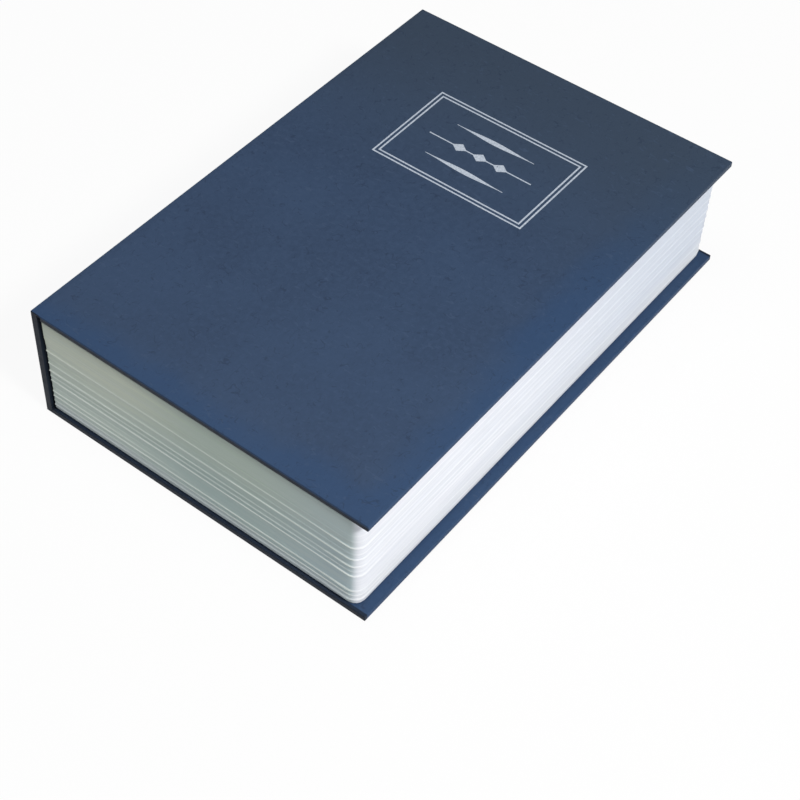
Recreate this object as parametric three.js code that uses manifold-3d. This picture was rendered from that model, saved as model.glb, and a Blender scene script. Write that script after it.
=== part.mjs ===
// A book diversion safe: a steel cash box with a stepped, locking lid, hidden in the case of a thick book.
// Millimetres. X runs from the spine to the fore edge, Y from the tail to the head, Z up through the book.
// The closed book lies on its back cover, and the origin is the middle of that cover's underside.
import * as THREE from "three";
import { mergeVertices } from "three/addons/utils/BufferGeometryUtils.js";
import Module from "manifold-3d";

// The whole book.
const BOOK_WIDTH = 157;
const BOOK_HEIGHT = 238;
const BOOK_THICKNESS = 55;

// The case: grey boards in navy covering paper, lined with white paper. GLUE is a glue line between layers, and
// JOINT_GAP is the gap between the spine and the front board, where the papers fold.
const PAPER = 0.3;
const GLUE = 0.05;
const COVER_BOARD = 2;
const SPINE_BOARD = 2.4;
const ENDPAPER = 0.2;
const TURN_IN = 15;
const ENDPAPER_MARGIN = 6.5;
const JOINT_GAP = 2;
const JOINT_REACH = 3;
const INNER_JOINT_REACH = 3;
const JOINT_BEND = 0.2;
const COVER_GAP = 0.4;

// Foil stamped into the front cover: two rules round a plain ornament.
const FOIL_OFF_CENTRE = -1.5;
const FOIL_BELOW_HEAD = 64;
const FOIL_WIDTH = 72.8;
const FOIL_HEIGHT = 47.6;
const FOIL_RULE = 0.75;
const FOIL_RULE_GAP = 1.1;
const FOIL_DEPTH = 0.12;
const FOIL_THICKNESS = 0.08;
const FOIL_FIT = 0.05;
const SWELL_LENGTH = 38;
const SWELL_THICKNESS = 2.4;
const SWELL_TIP = 0.3;
const SWELL_SPACING = 11;
const BAND_LENGTH = 50;
const BAND_LINE = 0.6;
const DIAMOND_WIDTH = 7;
const DIAMOND_HEIGHT = 5;
const DIAMOND_COUNT = 3;
const DIAMOND_PITCH = 10;

// The moulded shell that looks like the edges of the pages, on the head, the fore edge and the tail.
const END_OVERHANG = 0.5;
const FORE_OVERHANG = 4;
const SHELL_WALL = 2.7;
const SHELL_SPINE_GAP = 0.8;
const SHELL_CORNER = 5;
const GROOVE_COUNT = 13;
const GROOVE_HEIGHT = 0.9;
const GROOVE_DEPTH = 0.35;

// The steel box and its lid.
const SHEET = 1;
const SHEET_BEND = 1.2;
const TRAY_SPINE_GAP = 2.2;
const TRAY_FORE_GAP = 4;
const TRAY_END_GAP = 0.7;
const TRAY_RIM_DEPTH = 3.2;
const RAIL_WIDTH = 6.5;
const RAIL_LEDGE = 6;
const RAIL_END_GAP = 1.2;
const LID_BELOW_RIM = 0.25;
const LID_END_GAP = 0.9;
const LID_FORE_GAP = 3.5;
const LID_HINGE_GAP = 0.5;
const LID_REST_GAP = 0.3;
const LID_LOW_WIDTH = 43.3;
const LID_SLOPE_WIDTH = 25;
const LID_STEP = 11;

// The piano hinge along the spine side.
const PIN_RADIUS = 1.2;
const PIN_FIT = 0.1;
const LEAF = 0.8;
const LEAF_WIDTH = 14;
const LEAF_CLEARANCE = 0.3;
const KNUCKLE_COUNT = 15;
const KNUCKLE_GAP = 0.3;
const HINGE_END_GAP = 2;

// The cam lock in the low part of the lid, at mid height.
const LOCK_FROM_LID_EDGE = 25.8;
const LOCK_Y = 0;
const LOCK_FACE_RADIUS = 14.5;
const LOCK_FACE_HEIGHT = 2.6;
const LOCK_FACE_BEVEL = 0.8;
const BARREL_RADIUS = 9.5;
const BARREL_LENGTH = 16;
const BARREL_FLAT = 8.2;
const BARREL_FIT = 0.15;
const PLUG_RADIUS = 6;
const PLUG_FIT = 0.1;
const PLUG_RECESS = 0.6;
const DRIVE_SIDE = 7.5;
const DRIVE_FIT = 0.1;
const DRIVE_LENGTH = 2;
const WAFER_GROOVE_WIDTH = 7.4;
const WAFER_GROOVE_DEPTH = 1.4;
const NUT_ACROSS = 24;
const NUT_HEIGHT = 4.5;
const WASHER_RADIUS = 13;
const WASHER_HEIGHT = 0.6;
const CAM_THICKNESS = 1.5;
const CAM_WIDTH = 13;
const CAM_LENGTH = 30;
const CAM_TAIL = 7;
const STACK_GAP = 0.05;
const CAM_WASHER_RADIUS = 5;
const CAM_WASHER_HEIGHT = 0.6;
const SCREW_RADIUS = 2;
const SCREW_FIT = 0.1;
const SCREW_LENGTH = 3.6;
const SCREW_HEAD_RADIUS = 3.8;
const SCREW_HEAD_HEIGHT = 2.2;
const SCREW_SLOT_WIDTH = 0.9;
const SCREW_SLOT_DEPTH = 1;

// The wafers that the key lifts, and their springs.
const WAFER_COUNT = 5;
const WAFER_PITCH = 2.3;
const WAFER_THICKNESS = 0.8;
const WAFER_WIDTH = 6.4;
const WAFER_FIT = 0.15;
const FIRST_WAFER_DEPTH = 4;
const KEYWAY_WIDTH = 2.4;
const KEYWAY_HEIGHT = 7.4;
const WAFER_LUG = 1.8;
const WAFER_LUG_HEIGHT = 1.2;
const SPRING_LENGTH = 2.6;
const SPRING_RADIUS = 0.55;
const SPRING_WIRE = 0.14;
const SPRING_TURNS = 3;
const SPRING_STEPS_PER_TURN = 8;
const SPRING_SIDES = 5;
const SPRING_POCKET_FIT = 0.15;

// The bracket inside the box that the cam turns under.
const CATCH_SHEET = 1.2;
const CATCH_CLEARANCE = 0.4;
const CATCH_TONGUE = 14;
const CATCH_LEG = 13;
const CATCH_WIDTH = 32;

// Two keys on one ring, lying on the floor of the box.
const KEYS_FROM_SPINE_WALL = 27.25;
const KEYS_FROM_TAIL_WALL = 80.4;
const KEYS_TURN = 8;
const KEYS_FLOOR_GAP = 0.3;
const RING_RADIUS = 12;
const RING_WIRE = 0.7;
const RING_TILT = 14;
const RING_SIDES = 8;
const HEAD_WIDTH = 25;
const HEAD_LENGTH = 27.5;
const HEAD_THICKNESS = 7.2;
const HEAD_CORNER = 3.5;
const WEB_THICKNESS = 1.4;
const WEB_WIDTH = 2.1;
const SLOT_LENGTH = 13.2;
const SLOT_BEHIND = 1.2;
const SLOT_AHEAD = 2.9;
const RELIEF_LENGTH = 7.7;
const BLADE_LENGTH = 31;
const BLADE_WIDTH = 7;
const BLADE_THICKNESS = 2.1;
const BLADE_SHOULDER = 9.2;
const BLADE_SHOULDER_LENGTH = 5;
const BLADE_TANG = 10.8;
const BLADE_POCKET_FIT = 0.1;
const BLADE_CUTS = 5;
const BLADE_CUT_DEPTH = 1.3;
const BLADE_CUT_SWING = 0.4;
const BLADE_CUT_FLAT = 0.3;
const BLADE_TIP = 2.8;

// Layers of the case, worked out from the sizes above.
const COVER_STACK = PAPER + GLUE + COVER_BOARD + GLUE + PAPER + GLUE + ENDPAPER;
const SPINE_STACK = PAPER + GLUE + SPINE_BOARD + GLUE + ENDPAPER;
const SPINE_X = -BOOK_WIDTH / 2;
const SPINE_INNER_X = SPINE_X + PAPER + GLUE + SPINE_BOARD;
const COVER_START_X = SPINE_X + SPINE_STACK + JOINT_GAP;
const FORE_X = BOOK_WIDTH / 2;
const HALF_HEIGHT = BOOK_HEIGHT / 2;
const COVER_UNDERSIDE = BOOK_THICKNESS - COVER_STACK;
const BLOCK_BOTTOM = COVER_STACK + GLUE;
const BLOCK_TOP = COVER_UNDERSIDE - COVER_GAP;
const BLOCK_SPINE_X = SPINE_X + SPINE_STACK + GLUE;
const SHELL_START_X = BLOCK_SPINE_X + SHELL_SPINE_GAP;
const BLOCK_FORE_X = FORE_X - FORE_OVERHANG;
const BLOCK_HALF = HALF_HEIGHT - END_OVERHANG;

// The box inside the block.
const TRAY_X0 = BLOCK_SPINE_X + TRAY_SPINE_GAP;
const TRAY_X1 = BLOCK_FORE_X - SHELL_WALL - TRAY_FORE_GAP;
const TRAY_HALF = BLOCK_HALF - SHELL_WALL - TRAY_END_GAP;
const TRAY_TOP = BLOCK_TOP - TRAY_RIM_DEPTH;
const TRAY_FLOOR = BLOCK_BOTTOM + SHEET;
const LID_TOP = TRAY_TOP - LID_BELOW_RIM;
const LID_HALF = TRAY_HALF - SHEET - LID_END_GAP;
const LID_LOW_TOP = LID_TOP - LID_STEP;
const LID_FORE_X = TRAY_X1 - RAIL_WIDTH - LID_FORE_GAP;

// The hinge pin's place: the box leaf lies on the spine wall and the lid leaf under the lid.
const KNUCKLE_BORE = PIN_RADIUS + PIN_FIT;
const KNUCKLE_RADIUS = KNUCKLE_BORE + LEAF;
const PIN_X = TRAY_X0 + SHEET + GLUE + KNUCKLE_RADIUS;
const PIN_Z = LID_TOP - SHEET - GLUE - KNUCKLE_RADIUS;
const HINGE_HALF = TRAY_HALF - SHEET - HINGE_END_GAP;

// Depths below the lid's low top face, for the pieces stacked on the lock's barrel and plug.
const WASHER_TOP = -SHEET - STACK_GAP;
const NUT_TOP = WASHER_TOP - WASHER_HEIGHT - STACK_GAP;
const CAM_TOP = -BARREL_LENGTH - LEAF_CLEARANCE;
const DRIVE_END = CAM_TOP - DRIVE_LENGTH;
const CAM_BOTTOM = CAM_TOP - STACK_GAP - CAM_THICKNESS;
const CAM_WASHER_TOP = DRIVE_END - STACK_GAP;
const SCREW_TOP = CAM_WASHER_TOP - CAM_WASHER_HEIGHT - STACK_GAP;

// Places of the foil, the lock and the keys, and the wafers' reach with their corners inside the plug.
const FOIL_CENTRE_Y = HALF_HEIGHT - FOIL_BELOW_HEAD;
const LOCK_X = LID_FORE_X - LOCK_FROM_LID_EDGE;
const KEYS_X = TRAY_X0 + KEYS_FROM_SPINE_WALL;
const KEYS_Y = -TRAY_HALF + KEYS_FROM_TAIL_WALL;
const WAFER_REACH = Math.sqrt((PLUG_RADIUS - WAFER_FIT) ** 2 - (WAFER_WIDTH / 2) ** 2);

const ROUND_STEPS = 40;
const SMALL_STEPS = 20;
const BEND_STEPS = 3;
const CORNER_STEPS = 6;
const OVERCUT = 1;
const WELD = 1e-4;
const MITRE_LIMIT = 2;

const wasm = await Module();
wasm.setup();

// Solid modelling

function toSolid(geometry) {
  const bare = geometry.index ? geometry.toNonIndexed() : geometry.clone();
  bare.deleteAttribute("normal");
  bare.deleteAttribute("uv");
  const merged = mergeVertices(bare, WELD);
  return new wasm.Manifold(
    new wasm.Mesh({
      numProp: 3,
      vertProperties: new Float32Array(merged.attributes.position.array),
      triVerts: new Uint32Array(merged.index.array),
    }),
  );
}

function toGeometry(solid) {
  const mesh = solid.getMesh();
  const geometry = new THREE.BufferGeometry();
  geometry.setAttribute("position", new THREE.BufferAttribute(mesh.vertProperties, 3));
  geometry.setIndex(new THREE.BufferAttribute(mesh.triVerts, 1));
  geometry.computeVertexNormals();
  return geometry;
}

function cut(geometry, ...tools) {
  return toGeometry(tools.reduce((solid, tool) => solid.subtract(toSolid(tool)), toSolid(geometry)));
}

function join(...geometries) {
  return toGeometry(geometries.map(toSolid).reduce((whole, part) => whole.add(part)));
}

// A block between two corners.
function block(x0, x1, y0, y1, z0, z1) {
  return new THREE.BoxGeometry(x1 - x0, y1 - y0, z1 - z0).translate(
    (x0 + x1) / 2,
    (y0 + y1) / 2,
    (z0 + z1) / 2,
  );
}

// A plate with the outline drawn in X and Y, between two heights.
function plate(outline, z0, z1) {
  const shape = Array.isArray(outline) ? new THREE.Shape(outline) : outline;
  return new THREE.ExtrudeGeometry(shape, {
    depth: z1 - z0,
    bevelEnabled: false,
    curveSegments: CORNER_STEPS,
  }).translate(0, 0, z0);
}

// A bar along Y with the section drawn in X and Z.
function bar(section, halfLength) {
  return new THREE.ExtrudeGeometry(new THREE.Shape(section), {
    depth: 2 * halfLength,
    bevelEnabled: false,
  })
    .rotateX(Math.PI / 2)
    .translate(0, halfLength, 0);
}

// A turned piece on the Z axis, from [radius, height] points that start and end on the axis or close up.
function turned(points, steps = ROUND_STEPS) {
  return new THREE.LatheGeometry(
    points.map(([radius, height]) => new THREE.Vector2(radius, height)),
    steps,
  ).rotateX(Math.PI / 2);
}

function disc(radius, z0, z1, steps = ROUND_STEPS) {
  return turned([[0, z0], [radius, z0], [radius, z1], [0, z1]], steps);
}

function ring(inner, outer, z0, z1, steps = ROUND_STEPS) {
  return turned([[inner, z0], [outer, z0], [outer, z1], [inner, z1], [inner, z0]], steps);
}

// The section of a bent sheet whose middle line runs through the points, with a round bend at each corner.
function bentSection(points, thickness, bend) {
  const corners = points.map(([x, y]) => new THREE.Vector2(x, y));
  const line = corners.flatMap((corner, i) => {
    if (i === 0 || i === corners.length - 1) {
      return [corner];
    }
    const into = corner.clone().sub(corners[i - 1]).normalize();
    const out = corners[i + 1].clone().sub(corner).normalize();
    const turn = Math.atan2(into.cross(out), into.dot(out));
    const setback = bend * Math.tan(Math.abs(turn) / 2);
    const start = corner.clone().addScaledVector(into, -setback);
    const side = new THREE.Vector2(-into.y, into.x).multiplyScalar(Math.sign(turn) * bend);
    const centre = start.clone().add(side);
    return Array.from({ length: BEND_STEPS + 1 }, (_, k) =>
      start.clone().rotateAround(centre, (turn * k) / BEND_STEPS),
    );
  });
  const offset = (distance) =>
    line.map((point, i) => {
      const before = line[Math.max(i, 1) - 1];
      const here = line[Math.max(i, 1)];
      const last = Math.min(i, line.length - 2);
      const first = here.clone().sub(before).normalize();
      const second = line[last + 1].clone().sub(line[last]).normalize();
      const along = first.add(second);
      const reach = 2 / along.lengthSq();
      return new THREE.Vector2(-along.y, along.x).multiplyScalar(distance * reach).add(point);
    });
  return [...offset(-thickness / 2), ...offset(thickness / 2).reverse()];
}

// A rectangle with its corners rounded on the +X side only, as an outline in X and Y.
function foreRounded(x0, x1, half, radius) {
  const shape = new THREE.Shape();
  shape.moveTo(x0, -half);
  shape.lineTo(x1 - radius, -half);
  shape.absarc(x1 - radius, -half + radius, radius, -Math.PI / 2, 0, false);
  shape.absarc(x1 - radius, half - radius, radius, 0, Math.PI / 2, false);
  shape.lineTo(x0, half);
  shape.closePath();
  return shape;
}

// The case

// Covering paper round a cover board, open on the spine side: it lies on one face, runs over three edges and
// turns in on the other face. The face looks up on the front cover and down on the back cover.
function coverPaper(faceUp) {
  const skin = PAPER + GLUE;
  const stack = COVER_BOARD + 2 * skin;
  const top = faceUp ? BOOK_THICKNESS : stack;
  const bottom = top - stack;
  const sleeve = block(SPINE_X, FORE_X, -HALF_HEIGHT, HALF_HEIGHT, bottom, top);
  const inside = block(
    SPINE_X - OVERCUT,
    FORE_X - PAPER,
    -HALF_HEIGHT + PAPER,
    HALF_HEIGHT - PAPER,
    bottom + PAPER,
    top - PAPER,
  );
  const [windowLow, windowHigh] = faceUp
    ? [bottom - OVERCUT, bottom + skin]
    : [top - skin, top + OVERCUT];
  const window = block(
    SPINE_X - OVERCUT,
    FORE_X - TURN_IN,
    -HALF_HEIGHT + TURN_IN,
    HALF_HEIGHT - TURN_IN,
    windowLow,
    windowHigh,
  );
  return cut(sleeve, inside, window);
}

// Room for a neighbour that runs the whole height of the book, as X and Z limits.
function fullHeightRoom(x0, x1, z0, z1) {
  return block(x0, x1, -HALF_HEIGHT - OVERCUT, HALF_HEIGHT + OVERCUT, z0, z1);
}

function frontPaper() {
  const spineSide = fullHeightRoom(SPINE_X - OVERCUT, COVER_START_X, 0, BOOK_THICKNESS + OVERCUT);
  const stamps = foilOutlines().map(({ outline, hole }) =>
    plate(widened(outline, hole), BOOK_THICKNESS - FOIL_DEPTH, BOOK_THICKNESS + OVERCUT),
  );
  return cut(coverPaper(true), spineSide, ...stamps);
}

function backPaper() {
  const underSpine = PAPER + GLUE;
  const spineRoom = fullHeightRoom(SPINE_X - OVERCUT, SPINE_INNER_X + GLUE, underSpine, BOOK_THICKNESS);
  return cut(coverPaper(false), spineRoom);
}

function coverBoard(x0, bottom) {
  const edge = PAPER + GLUE;
  return block(x0, FORE_X - edge, -HALF_HEIGHT + edge, HALF_HEIGHT - edge, bottom, bottom + COVER_BOARD);
}

// The spine board stands between the two outer faces of the case, in covering paper on its back and its ends.
function spinePaper() {
  const edge = PAPER + GLUE;
  const jointStart = BOOK_THICKNESS - JOINT_REACH - GLUE;
  const back = block(SPINE_X, SPINE_X + PAPER, -HALF_HEIGHT, HALF_HEIGHT, edge, jointStart);
  const ends = [-1, 1].map((side) => {
    const outer = side * HALF_HEIGHT;
    const inner = side * (HALF_HEIGHT - PAPER);
    return block(
      SPINE_X,
      SPINE_INNER_X,
      Math.min(outer, inner),
      Math.max(outer, inner),
      edge,
      BOOK_THICKNESS - edge,
    );
  });
  const jointRoom = fullHeightRoom(SPINE_X - OVERCUT, SPINE_X + edge, jointStart, BOOK_THICKNESS);
  return cut(join(back, ...ends), jointRoom);
}

function spineBoard() {
  const edge = PAPER + GLUE;
  return block(
    SPINE_X + edge,
    SPINE_INNER_X,
    -HALF_HEIGHT + edge,
    HALF_HEIGHT - edge,
    edge,
    BOOK_THICKNESS - edge,
  );
}

function spineLining() {
  const x0 = SPINE_INNER_X + GLUE;
  return block(x0, x0 + ENDPAPER, -BLOCK_HALF, BLOCK_HALF, BLOCK_BOTTOM, BLOCK_TOP);
}

// White paper pasted on the inside of a cover, over the turned-in edges.
function endpaper(x0, bottom) {
  return block(
    x0,
    FORE_X - ENDPAPER_MARGIN,
    -HALF_HEIGHT + ENDPAPER_MARGIN,
    HALF_HEIGHT - ENDPAPER_MARGIN,
    bottom,
    bottom + ENDPAPER,
  );
}

// The strip of covering paper over the spine board's top and the joint, which bends as the front cover opens.
function coverJointPaper() {
  const middle = PAPER / 2;
  const section = bentSection(
    [
      [SPINE_X + middle, BOOK_THICKNESS - JOINT_REACH],
      [SPINE_X + middle, BOOK_THICKNESS - middle],
      [COVER_START_X - GLUE, BOOK_THICKNESS - middle],
    ],
    PAPER,
    JOINT_BEND,
  );
  return bar(section, HALF_HEIGHT);
}

// The strip of white lining that dips into the joint: up the spine board, under the covering paper, down the
// front board's edge and on under the cover to the endpaper.
function innerJointPaper() {
  const middle = ENDPAPER / 2;
  const spineSide = SPINE_INNER_X + GLUE + middle;
  const coverSide = COVER_START_X - GLUE - middle;
  const top = BOOK_THICKNESS - PAPER - GLUE - middle;
  const underCover = COVER_UNDERSIDE + middle;
  const section = bentSection(
    [
      [spineSide, BLOCK_TOP + GLUE],
      [spineSide, top],
      [coverSide, top],
      [coverSide, underCover],
      [coverSide + INNER_JOINT_REACH, underCover],
    ],
    ENDPAPER,
    JOINT_BEND,
  );
  return bar(section, HALF_HEIGHT - ENDPAPER_MARGIN);
}

// Foil

function rectangle(halfWidth, halfHeight) {
  return [
    [-halfWidth, -halfHeight],
    [halfWidth, -halfHeight],
    [halfWidth, halfHeight],
    [-halfWidth, halfHeight],
  ];
}

// A rule that swells from thin tips to its middle, above or below the centre.
function swelledRule(y) {
  const steps = 2 * CORNER_STEPS;
  const edge = (side) =>
    Array.from({ length: steps + 1 }, (_, i) => {
      const along = i / steps;
      const swell = SWELL_TIP + (SWELL_THICKNESS - SWELL_TIP) * Math.sin(Math.PI * along) ** 2;
      return [(along - 0.5) * SWELL_LENGTH, y + (side * swell) / 2];
    });
  return [...edge(-1), ...edge(1).reverse()];
}

// A line with diamonds threaded on it.
function diamondBand() {
  const half = BAND_LINE / 2;
  const shoulder = (DIAMOND_WIDTH / 2) * (1 - BAND_LINE / DIAMOND_HEIGHT);
  const first = (-(DIAMOND_COUNT - 1) / 2) * DIAMOND_PITCH;
  const side = [[-BAND_LENGTH / 2, half]];
  for (let i = 0; i < DIAMOND_COUNT; i += 1) {
    const x = first + i * DIAMOND_PITCH;
    side.push([x - shoulder, half], [x, DIAMOND_HEIGHT / 2], [x + shoulder, half]);
  }
  side.push([BAND_LENGTH / 2, half]);
  const lower = side.map(([x, y]) => [x, -y]);
  return [...lower, ...side.reverse()];
}

function foilOutlines() {
  const ruleInset = FOIL_RULE + FOIL_RULE_GAP;
  const frame = (inset) => ({
    outline: rectangle(FOIL_WIDTH / 2 - inset, FOIL_HEIGHT / 2 - inset),
    hole: rectangle(FOIL_WIDTH / 2 - inset - FOIL_RULE, FOIL_HEIGHT / 2 - inset - FOIL_RULE),
  });
  return [
    { name: "foil_outer_rule", ...frame(0) },
    { name: "foil_inner_rule", ...frame(ruleInset) },
    { name: "foil_upper_swell", outline: swelledRule(SWELL_SPACING) },
    { name: "foil_diamond_band", outline: diamondBand() },
    { name: "foil_lower_swell", outline: swelledRule(-SWELL_SPACING) },
  ];
}

function foilShape(outline, hole) {
  const place = ([x, y]) => new THREE.Vector2(x + FOIL_OFF_CENTRE, y + FOIL_CENTRE_Y);
  const shape = new THREE.Shape(outline.map(place));
  if (hole) {
    shape.holes.push(new THREE.Path(hole.map(place)));
  }
  return shape;
}

// The same outline, a little larger all round, for the recess that the foil is pressed into.
function widened(outline, hole) {
  const grow = (points, distance) => {
    const corners = points.map(([x, y]) => new THREE.Vector2(x, y));
    return corners.map((point, i) => {
      const before = corners[(i + corners.length - 1) % corners.length];
      const after = corners[(i + 1) % corners.length];
      const along = point
        .clone()
        .sub(before)
        .normalize()
        .add(after.clone().sub(point).normalize());
      const reach = Math.min(2 / along.lengthSq(), MITRE_LIMIT);
      return [
        point.x + along.y * reach * distance,
        point.y - along.x * reach * distance,
      ];
    });
  };
  return foilShape(grow(outline, FOIL_FIT), hole && grow(hole, -FOIL_FIT));
}

function foil(outline, hole) {
  const bottom = BOOK_THICKNESS - FOIL_DEPTH + (FOIL_DEPTH - FOIL_THICKNESS) / 2;
  return plate(foilShape(outline, hole), bottom, bottom + FOIL_THICKNESS);
}

// The page block

function pageShell() {
  const outline = foreRounded(SHELL_START_X, BLOCK_FORE_X, BLOCK_HALF, SHELL_CORNER);
  const inside = foreRounded(
    BLOCK_SPINE_X - OVERCUT,
    BLOCK_FORE_X - SHELL_WALL,
    BLOCK_HALF - SHELL_WALL,
    SHELL_CORNER - SHELL_WALL,
  );
  const pitch = (BLOCK_TOP - BLOCK_BOTTOM) / (GROOVE_COUNT + 1);
  const grooves = Array.from({ length: GROOVE_COUNT }, (_, i) => {
    const middle = BLOCK_BOTTOM + (i + 1) * pitch;
    const low = middle - GROOVE_HEIGHT / 2;
    const high = middle + GROOVE_HEIGHT / 2;
    const around = block(
      BLOCK_SPINE_X - OVERCUT,
      FORE_X,
      -HALF_HEIGHT,
      HALF_HEIGHT,
      low,
      high,
    );
    const core = foreRounded(
      BLOCK_SPINE_X - 2 * OVERCUT,
      BLOCK_FORE_X - GROOVE_DEPTH,
      BLOCK_HALF - GROOVE_DEPTH,
      SHELL_CORNER - GROOVE_DEPTH,
    );
    return cut(around, plate(core, low - OVERCUT, high + OVERCUT));
  });
  const wall = cut(
    plate(outline, BLOCK_BOTTOM, BLOCK_TOP),
    plate(inside, BLOCK_BOTTOM - OVERCUT, BLOCK_TOP + OVERCUT),
  );
  return cut(wall, ...grooves);
}

// The steel box

function tray() {
  const outside = block(TRAY_X0, TRAY_X1, -TRAY_HALF, TRAY_HALF, BLOCK_BOTTOM, TRAY_TOP);
  const inside = block(
    TRAY_X0 + SHEET,
    TRAY_X1 - SHEET,
    -TRAY_HALF + SHEET,
    TRAY_HALF - SHEET,
    TRAY_FLOOR,
    TRAY_TOP + OVERCUT,
  );
  const hingeRoom = block(
    TRAY_X0 - OVERCUT,
    TRAY_X0 + SHEET + OVERCUT,
    -TRAY_HALF + SHEET,
    TRAY_HALF - SHEET,
    PIN_Z - KNUCKLE_RADIUS - LEAF_CLEARANCE,
    TRAY_TOP + OVERCUT,
  );
  return cut(outside, inside, hingeRoom);
}

// The rail on the fore-edge wall: a flat lip on top, a web, and a ledge that the lid rests on.
function lidRail() {
  const lipZ = TRAY_TOP + GLUE + SHEET / 2;
  const webX = TRAY_X1 - RAIL_WIDTH + SHEET / 2;
  const ledgeZ = LID_LOW_TOP - SHEET - LID_REST_GAP - SHEET / 2;
  const section = bentSection(
    [
      [TRAY_X1, lipZ],
      [webX, lipZ],
      [webX, ledgeZ],
      [webX - RAIL_LEDGE, ledgeZ],
    ],
    SHEET,
    SHEET_BEND,
  );
  return bar(section, TRAY_HALF - SHEET - RAIL_END_GAP);
}

// The bracket on the fore-edge wall with a tongue just above the turned cam.
function lockCatch() {
  const legX = TRAY_X1 - SHEET - GLUE - CATCH_SHEET / 2;
  const tongueZ = LID_LOW_TOP + CAM_TOP + CATCH_CLEARANCE + CATCH_SHEET / 2;
  const section = bentSection(
    [
      [legX, tongueZ + CATCH_LEG],
      [legX, tongueZ],
      [legX - CATCH_TONGUE, tongueZ],
    ],
    CATCH_SHEET,
    SHEET_BEND,
  );
  return bar(section, CATCH_WIDTH / 2).translate(0, LOCK_Y, 0);
}

// The lid: flat by the hinge, sloping down, and low and flat round the lock.
function lidPanel() {
  const x0 = PIN_X + KNUCKLE_RADIUS + LID_HINGE_GAP;
  const slopeEnd = LID_FORE_X - LID_LOW_WIDTH;
  const flatEnd = slopeEnd - LID_SLOPE_WIDTH;
  const high = LID_TOP - SHEET / 2;
  const low = LID_LOW_TOP - SHEET / 2;
  const section = bentSection(
    [
      [x0, high],
      [flatEnd, high],
      [slopeEnd, low],
      [LID_FORE_X, low],
    ],
    SHEET,
    SHEET_BEND,
  );
  const hole = barrelShape(BARREL_FIT, LID_LOW_TOP - SHEET - OVERCUT, LID_LOW_TOP + OVERCUT);
  return cut(bar(section, LID_HALF), hole.translate(LOCK_X, LOCK_Y, 0));
}

// The hinge, round its pin's axis: X and Z from the axis, Y along it.

function knuckles(odd) {
  const pitch = (2 * HINGE_HALF) / KNUCKLE_COUNT;
  return Array.from({ length: KNUCKLE_COUNT }, (_, i) => i)
    .filter((i) => i % 2 === (odd ? 1 : 0))
    .map((i) => ({
      y0: -HINGE_HALF + i * pitch + KNUCKLE_GAP / 2,
      y1: -HINGE_HALF + (i + 1) * pitch - KNUCKLE_GAP / 2,
    }));
}

function alongY(geometry) {
  return geometry.rotateX(Math.PI / 2);
}

// The leaf's plate is drawn as [x0, x1, z0, z1], and each knuckle's tab reaches from it to the pin.
function hingeLeaf(odd, plateBox, tabBox) {
  const [px0, px1, pz0, pz1] = plateBox;
  const [tx0, tx1, tz0, tz1] = tabBox;
  const pieces = [block(px0, px1, -HINGE_HALF, HINGE_HALF, pz0, pz1)];
  knuckles(odd).forEach(({ y0, y1 }) => {
    pieces.push(block(tx0, tx1, y0, y1, tz0, tz1));
    pieces.push(alongY(disc(KNUCKLE_RADIUS, -y1, -y0, SMALL_STEPS)));
  });
  const bore = alongY(disc(KNUCKLE_BORE, -HINGE_HALF - OVERCUT, HINGE_HALF + OVERCUT, SMALL_STEPS));
  return cut(join(...pieces), bore);
}

function boxLeaf() {
  const outer = -KNUCKLE_RADIUS;
  const inner = outer + LEAF;
  const top = -KNUCKLE_RADIUS - LEAF_CLEARANCE;
  return hingeLeaf(false, [outer, inner, -LEAF_WIDTH, top], [outer, inner, top, 0]);
}

function lidLeaf() {
  const top = KNUCKLE_RADIUS;
  const bottom = top - LEAF;
  const start = KNUCKLE_RADIUS + LEAF_CLEARANCE;
  return hingeLeaf(true, [start, LEAF_WIDTH, bottom, top], [0, start, bottom, top]);
}

function hingePin() {
  return alongY(disc(PIN_RADIUS, -HINGE_HALF, HINGE_HALF, SMALL_STEPS));
}

// The lock, with its own origin at the lid's low top face, on the lock's axis

// The barrel with its two flats, larger all round by the fit.
function barrelShape(fit, z0, z1) {
  const radius = BARREL_RADIUS + fit;
  const flat = BARREL_FLAT + fit;
  const sides = [-1, 1].map((side) =>
    block(
      side > 0 ? flat : -radius - OVERCUT,
      side > 0 ? radius + OVERCUT : -flat,
      -radius - OVERCUT,
      radius + OVERCUT,
      z0 - OVERCUT,
      z1 + OVERCUT,
    ),
  );
  return cut(disc(radius, z0, z1), ...sides);
}

function lockBody() {
  const face = LOCK_FACE_HEIGHT;
  const rim = turned([
    [0, GLUE],
    [LOCK_FACE_RADIUS, GLUE],
    [LOCK_FACE_RADIUS, face - LOCK_FACE_BEVEL],
    [LOCK_FACE_RADIUS - LOCK_FACE_BEVEL, face],
    [0, face],
  ]);
  const bore = disc(PLUG_RADIUS + PLUG_FIT, -BARREL_LENGTH - OVERCUT, face + OVERCUT);
  const grooves = block(
    -WAFER_GROOVE_WIDTH / 2,
    WAFER_GROOVE_WIDTH / 2,
    -PLUG_RADIUS - WAFER_GROOVE_DEPTH,
    PLUG_RADIUS + WAFER_GROOVE_DEPTH,
    -BARREL_LENGTH - OVERCUT,
    -SHEET,
  );
  return cut(join(rim, barrelShape(0, -BARREL_LENGTH, LOCK_FACE_BEVEL)), bore, grooves);
}

function waferHeight(i) {
  return -FIRST_WAFER_DEPTH - i * WAFER_PITCH;
}

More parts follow.
